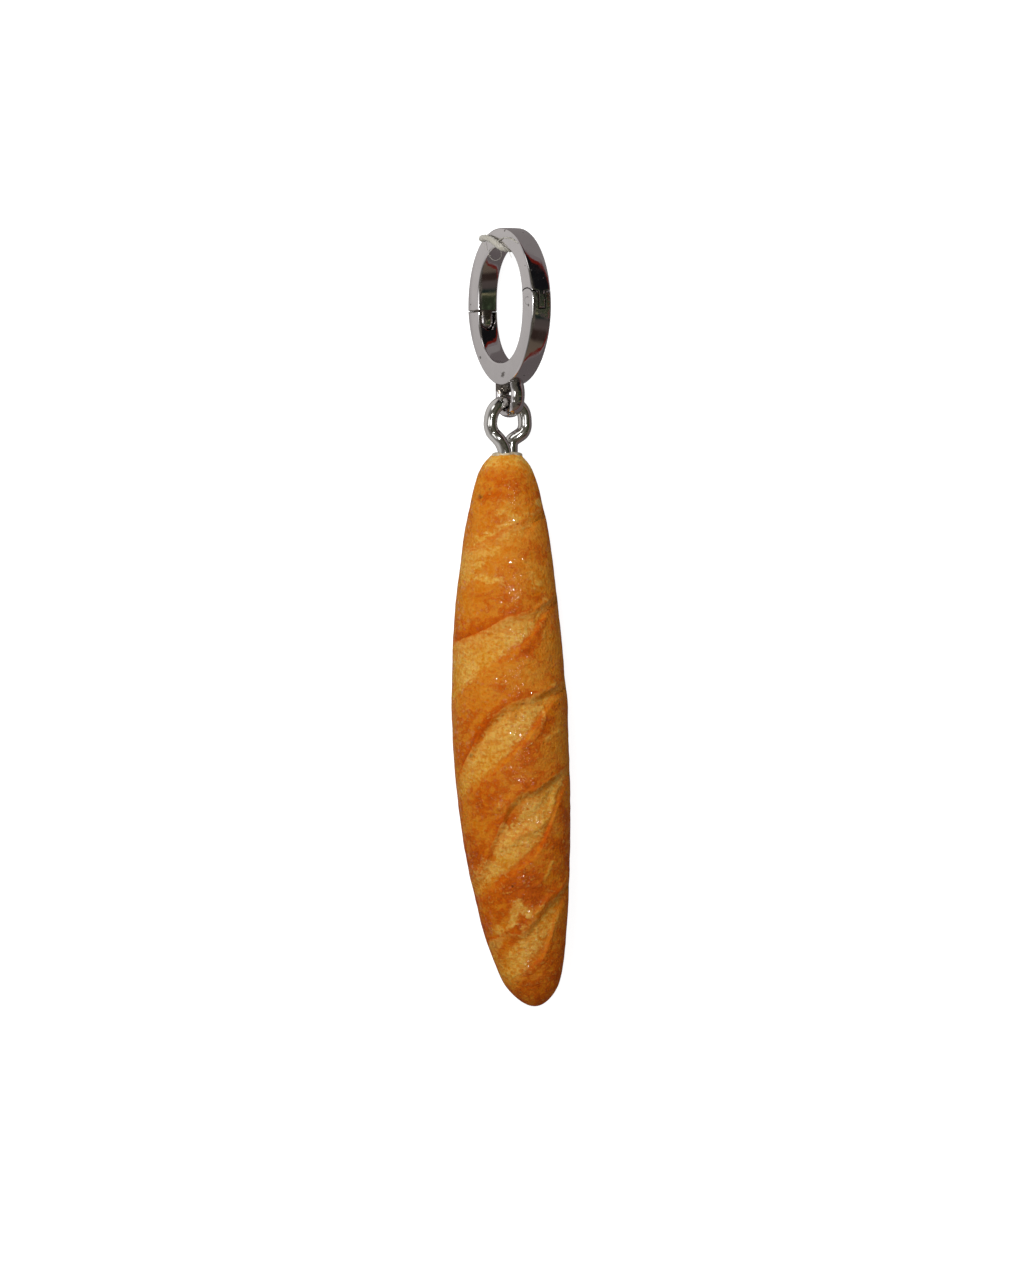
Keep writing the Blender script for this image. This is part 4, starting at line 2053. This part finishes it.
@dataclass
class Studio:
    """Plain pale floor, soft light from the upper left and a camera that looks straight down.

    Lengths are in metres, apart from the subject's height, which is in millimetres. A pair of
    colours is what a pattern runs between. Each bright patch is given by its direction, the two
    angles between which it fades, and its strength.
    """

    floor_radius: float = 1.5
    floor_colour: float = 0.45
    floor_glow: float = 0.88
    floor_bounce: float = 0.22
    floor_mirrored: tuple[Colour, Colour] = ((0.16, 0.138, 0.14), (0.63, 0.61, 0.60))
    key_place: Place = (-0.055, 0.080, 0.155)
    key_size: float = 0.10
    key_power: float = 0.232
    glint_from: Place = (0.24, 0.10, 0.965)
    glint_strength: float = 2.0
    glint_angle: float = 4.0
    ambient: float = 0.40
    bright_patches: tuple[tuple[Place, float, float, float], ...] = (
        ((0.17, 0.0, 0.985), 7.0, 13.0, 2.2),
        ((-0.17, 0.72, 0.673), 6.0, 12.0, 2.0),
        ((-0.42, 0.05, 0.906), 9.0, 17.0, 1.6),
    )
    wall: tuple[tuple[float, Colour], ...] = (
        (0.10, (0.16, 0.12, 0.09)), (0.20, (0.13, 0.10, 0.075)), (0.23, (0.035, 0.022, 0.018)),
        (0.29, (0.04, 0.025, 0.02)), (0.32, (0.09, 0.07, 0.065)), (0.38, (0.08, 0.065, 0.06)),
        (0.40, (0.012, 0.022, 0.02)), (0.425, (0.02, 0.03, 0.024)), (0.435, (0.30, 0.27, 0.15)),
        (0.45, (0.03, 0.04, 0.02)), (0.58, (0.02, 0.026, 0.016)), (0.66, (0.008, 0.008, 0.009)),
    )
    leaf_green: Colour = (0.10, 0.15, 0.075)
    ceiling: tuple[Colour, Colour] = ((0.02, 0.02, 0.014), (0.17, 0.155, 0.125))
    red_band: Colour = (0.15, 0.012, 0.007)
    grey_band: Colour = (0.21, 0.18, 0.185)
    pale_side: tuple[Colour, Colour] = ((0.62, 0.60, 0.60), (0.16, 0.15, 0.14))
    backdrop: float = 1.0
    camera_distance: float = 1.5
    sensor: float = 36.0
    pixels: tuple[int, int] = (1024, 1280)
    pixels_per_mm: float = 11.0
    subject_height: float = 5.0
    origin_pixel: Point = (510.4, 617.2)

    def floor(self) -> None:
        """Lay the floor. Polished metal sees it grey, brighter on the left."""
        mesh = bpy.data.meshes.new("floor")
        with reworked(mesh) as work:
            bmesh.ops.create_circle(work, cap_ends=True, radius=self.floor_radius, segments=64)
        material = bpy.data.materials.new("floor")
        material.use_nodes = True
        tree = material.node_tree
        tree.nodes.clear()
        place = tree.nodes.new("ShaderNodeTexCoord").outputs["Object"]
        x, y, _ = put(tree, "ShaderNodeSeparateXYZ", {0: place}).outputs
        left = ranged(tree, x, -0.0025, -0.0075)
        far = maths(tree, "MULTIPLY", ranged(tree, y, 0.0325, 0.0355), 0.2)
        seen = blended(tree, maths(tree, "MAXIMUM", left, far), *self.floor_mirrored)
        bright = ranged(tree, y, 0.021, 0.034, 0.88, 1.02)
        seen = put(tree, "ShaderNodeVectorMath", {0: seen, "Scale": bright}, operation="SCALE").outputs[0]
        path = tree.nodes.new("ShaderNodeLightPath").outputs
        matt = put(tree, "ShaderNodeBsdfDiffuse", {"Color": (*[self.floor_colour] * 3, 1.0)})
        dim = put(tree, "ShaderNodeBsdfDiffuse", {"Color": (*[self.floor_bounce] * 3, 1.0)})
        white = put(tree, "ShaderNodeEmission", {"Strength": self.floor_glow})
        shown = put(tree, "ShaderNodeAddShader", {0: matt.outputs[0], 1: white.outputs[0]})
        glow = put(tree, "ShaderNodeEmission", {"Color": seen})
        whole = either(tree, path["Is Glossy Ray"], either(tree, path["Is Diffuse Ray"], shown, dim), glow)
        put(tree, "ShaderNodeOutputMaterial", {"Surface": whole.outputs[0]})
        mesh.materials.append(material)
        new_object("floor", mesh)

    def world(self) -> None:
        """Surround the scene: plain for the eye, soft for matt things, banded for polished ones."""
        world = bpy.data.worlds.new("room")
        bpy.context.scene.world = world
        world.use_nodes = True
        tree = world.node_tree
        tree.nodes.clear()
        way = tree.nodes.new("ShaderNodeTexCoord").outputs["Generated"]
        x, y, z = put(tree, "ShaderNodeSeparateXYZ", {0: way}).outputs
        noise = put(tree, "ShaderNodeTexNoise", {"Vector": way, "Scale": 14.0, "Detail": 5.0}).outputs[0]
        wall = put(tree, "ShaderNodeValToRGB", {0: maths(tree, "MULTIPLY_ADD", y, 0.5, 0.5)})
        ramp = wall.color_ramp.elements
        for element, (position, colour) in zip(ramp, (self.wall[0], self.wall[-1])):
            element.position, element.color = position, (*colour, 1.0)
        for position, colour in self.wall[1:-1]:
            ramp.new(position).color = (*colour, 1.0)
        leaves = maths(tree, "MULTIPLY", ranged(tree, noise, 0.52, 0.68), ranged(tree, y, 0.32, 0.12))
        leaves = maths(tree, "MULTIPLY", leaves, ranged(tree, y, -0.16, -0.08))
        dark = blended(tree, leaves, wall.outputs[0], self.leaf_green)
        ceiling = blended(tree, ranged(tree, noise, 0.38, 0.62), *self.ceiling)
        dark = blended(tree, ranged(tree, z, 0.44, 0.6), dark, ceiling)
        ragged = varied(tree, z, noise, 0.08)
        ragged = maths(tree, "MULTIPLY_ADD", ranged(tree, y, -0.3, 0.3), -0.03, ragged)
        right = blended(tree, ranged(tree, ragged, 0.118, 0.108), dark, self.red_band)
        right = blended(tree, ranged(tree, ragged, 0.05, 0.04), right, self.grey_band)
        left = blended(tree, ranged(tree, z, 0.2, 0.85), *self.pale_side)
        room = blended(tree, ranged(tree, x, 0.1, -0.25), right, left)
        for source, inner, outer, strength in self.bright_patches:
            facing = put(tree, "ShaderNodeVectorMath", {0: way, 1: source}, operation="DOT_PRODUCT")
            fades = [math.cos(math.radians(angle)) for angle in (outer, inner)]
            patch = ranged(tree, facing.outputs["Value"], *fades)
            room = blended(tree, patch, room, (strength, strength, strength))
        shiny = put(tree, "ShaderNodeBackground", {"Color": room})
        lit = ranged(tree, x, 0.8, -0.8, 0.85 * self.ambient, 1.15 * self.ambient)
        soft, plain = (
            put(tree, "ShaderNodeBackground", {"Color": (1.0, 1.0, 1.0, 1.0), "Strength": strength})
            for strength in (lit, self.backdrop)
        )
        path = tree.nodes.new("ShaderNodeLightPath").outputs
        whole = either(tree, path["Is Camera Ray"], either(tree, path["Is Glossy Ray"], soft, shiny), plain)
        put(tree, "ShaderNodeOutputWorld", {"Surface": whole.outputs[0]})

    @staticmethod
    def lamp(data: bpy.types.Light, source: Place) -> bpy.types.Object:
        """Hang a lamp that shines on the origin.

        Args:
            data: What kind of lamp it is.
            source: Place or direction that its light comes from.

        Returns:
            The lamp, turned but still at the origin.
        """
        lamp = new_object(data.name, data)
        lamp.rotation_mode = "QUATERNION"
        lamp.rotation_quaternion = Vector(source).to_track_quat("Z", "Y")
        return lamp

    def key(self) -> None:
        """Hang the soft lamp on the upper left. Polished metal doesn't see it."""
        data = bpy.data.lights.new("key", "AREA")
        data.shape = "DISK"
        data.size = self.key_size
        data.energy = self.key_power
        lamp = self.lamp(data, self.key_place)
        lamp.location = self.key_place
        lamp.visible_glossy = False

    def glint(self) -> None:
        """Hang the distant lamp that glints on the varnish and the metal. It lights nothing matt."""
        data = bpy.data.lights.new("glint", "SUN")
        data.energy = self.glint_strength
        data.angle = math.radians(self.glint_angle)
        self.lamp(data, self.glint_from).visible_diffuse = False

    def camera(self) -> None:
        """Set up the camera over the charm."""
        data = bpy.data.cameras.new("camera")
        wide, tall = self.pixels
        field_height = tall / self.pixels_per_mm * MM
        data.sensor_fit = "AUTO"
        data.sensor_width = self.sensor
        data.lens = self.sensor * self.camera_distance / field_height
        data.clip_start = 0.1
        data.clip_end = 10.0
        camera = new_object("camera", data)
        column, row = self.origin_pixel
        camera.location = (
            (wide / 2 - column) / self.pixels_per_mm * MM,
            (row - tall / 2) / self.pixels_per_mm * MM,
            self.camera_distance + self.subject_height * MM,
        )
        bpy.context.scene.camera = camera

    def build(self) -> None:
        """Set up the floor, the surroundings, the lamps and the camera."""
        bpy.context.scene.view_settings.view_transform = "Standard"
        self.floor()
        self.world()
        self.key()
        self.glint()
        self.camera()


# ---- the charm


# Where the pivot of the clasp lies in the sizes that the loaf and its strokes are drawn in.
DRAWN_PIVOT: Point = (-0.25, 19.52)


def build_charm() -> None:
    """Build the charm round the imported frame, and its studio."""
    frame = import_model()
    swing = frame["joints"][0]
    pivot = Vector(swing["pos_m"]) / MM
    front = Vector(swing["axis"]).normalized()
    up = Vector((0.0, 1.0, 0.0))
    shift = pivot - Vector((*DRAWN_PIVOT, pivot.z))
    eye_frame = Matrix((front, up, front.cross(up))).transposed().to_4x4()
    eye_frame.translation = pivot
    clasp = Clasp()
    clasp_frame = Matrix((up.cross(front), up, front)).transposed().to_4x4()
    clasp_frame.translation = pivot + up * (clasp.wire_hang - clasp.bail_y) + front * clasp.slide

    shared = SharedEffects()
    plating = PLATED_CLASP.material(shared)
    wire = BRIGHT_WIRE.material(shared)
    steel = HINGE_STEEL.material(shared)

    pieces = [
        Loaf().build(shift, ClayFinish().material(shared)),
        WireEye().build(eye_frame, wire),
        GlueCollar().build(eye_frame, shift, GlueFinish().material(shared)),
        *clasp.build(clasp_frame, plating, steel),
        ThreadTie().build(clasp, clasp_frame, CottonFinish().material(shared)),
    ]
    Studio().build()
    for piece in pieces:
        LOG.info("%s: %d faces", piece.name, len(piece.data.polygons))


if __name__ == "__main__":
    logging.basicConfig(level=logging.INFO, format="%(name)s: %(message)s")
    build_charm()
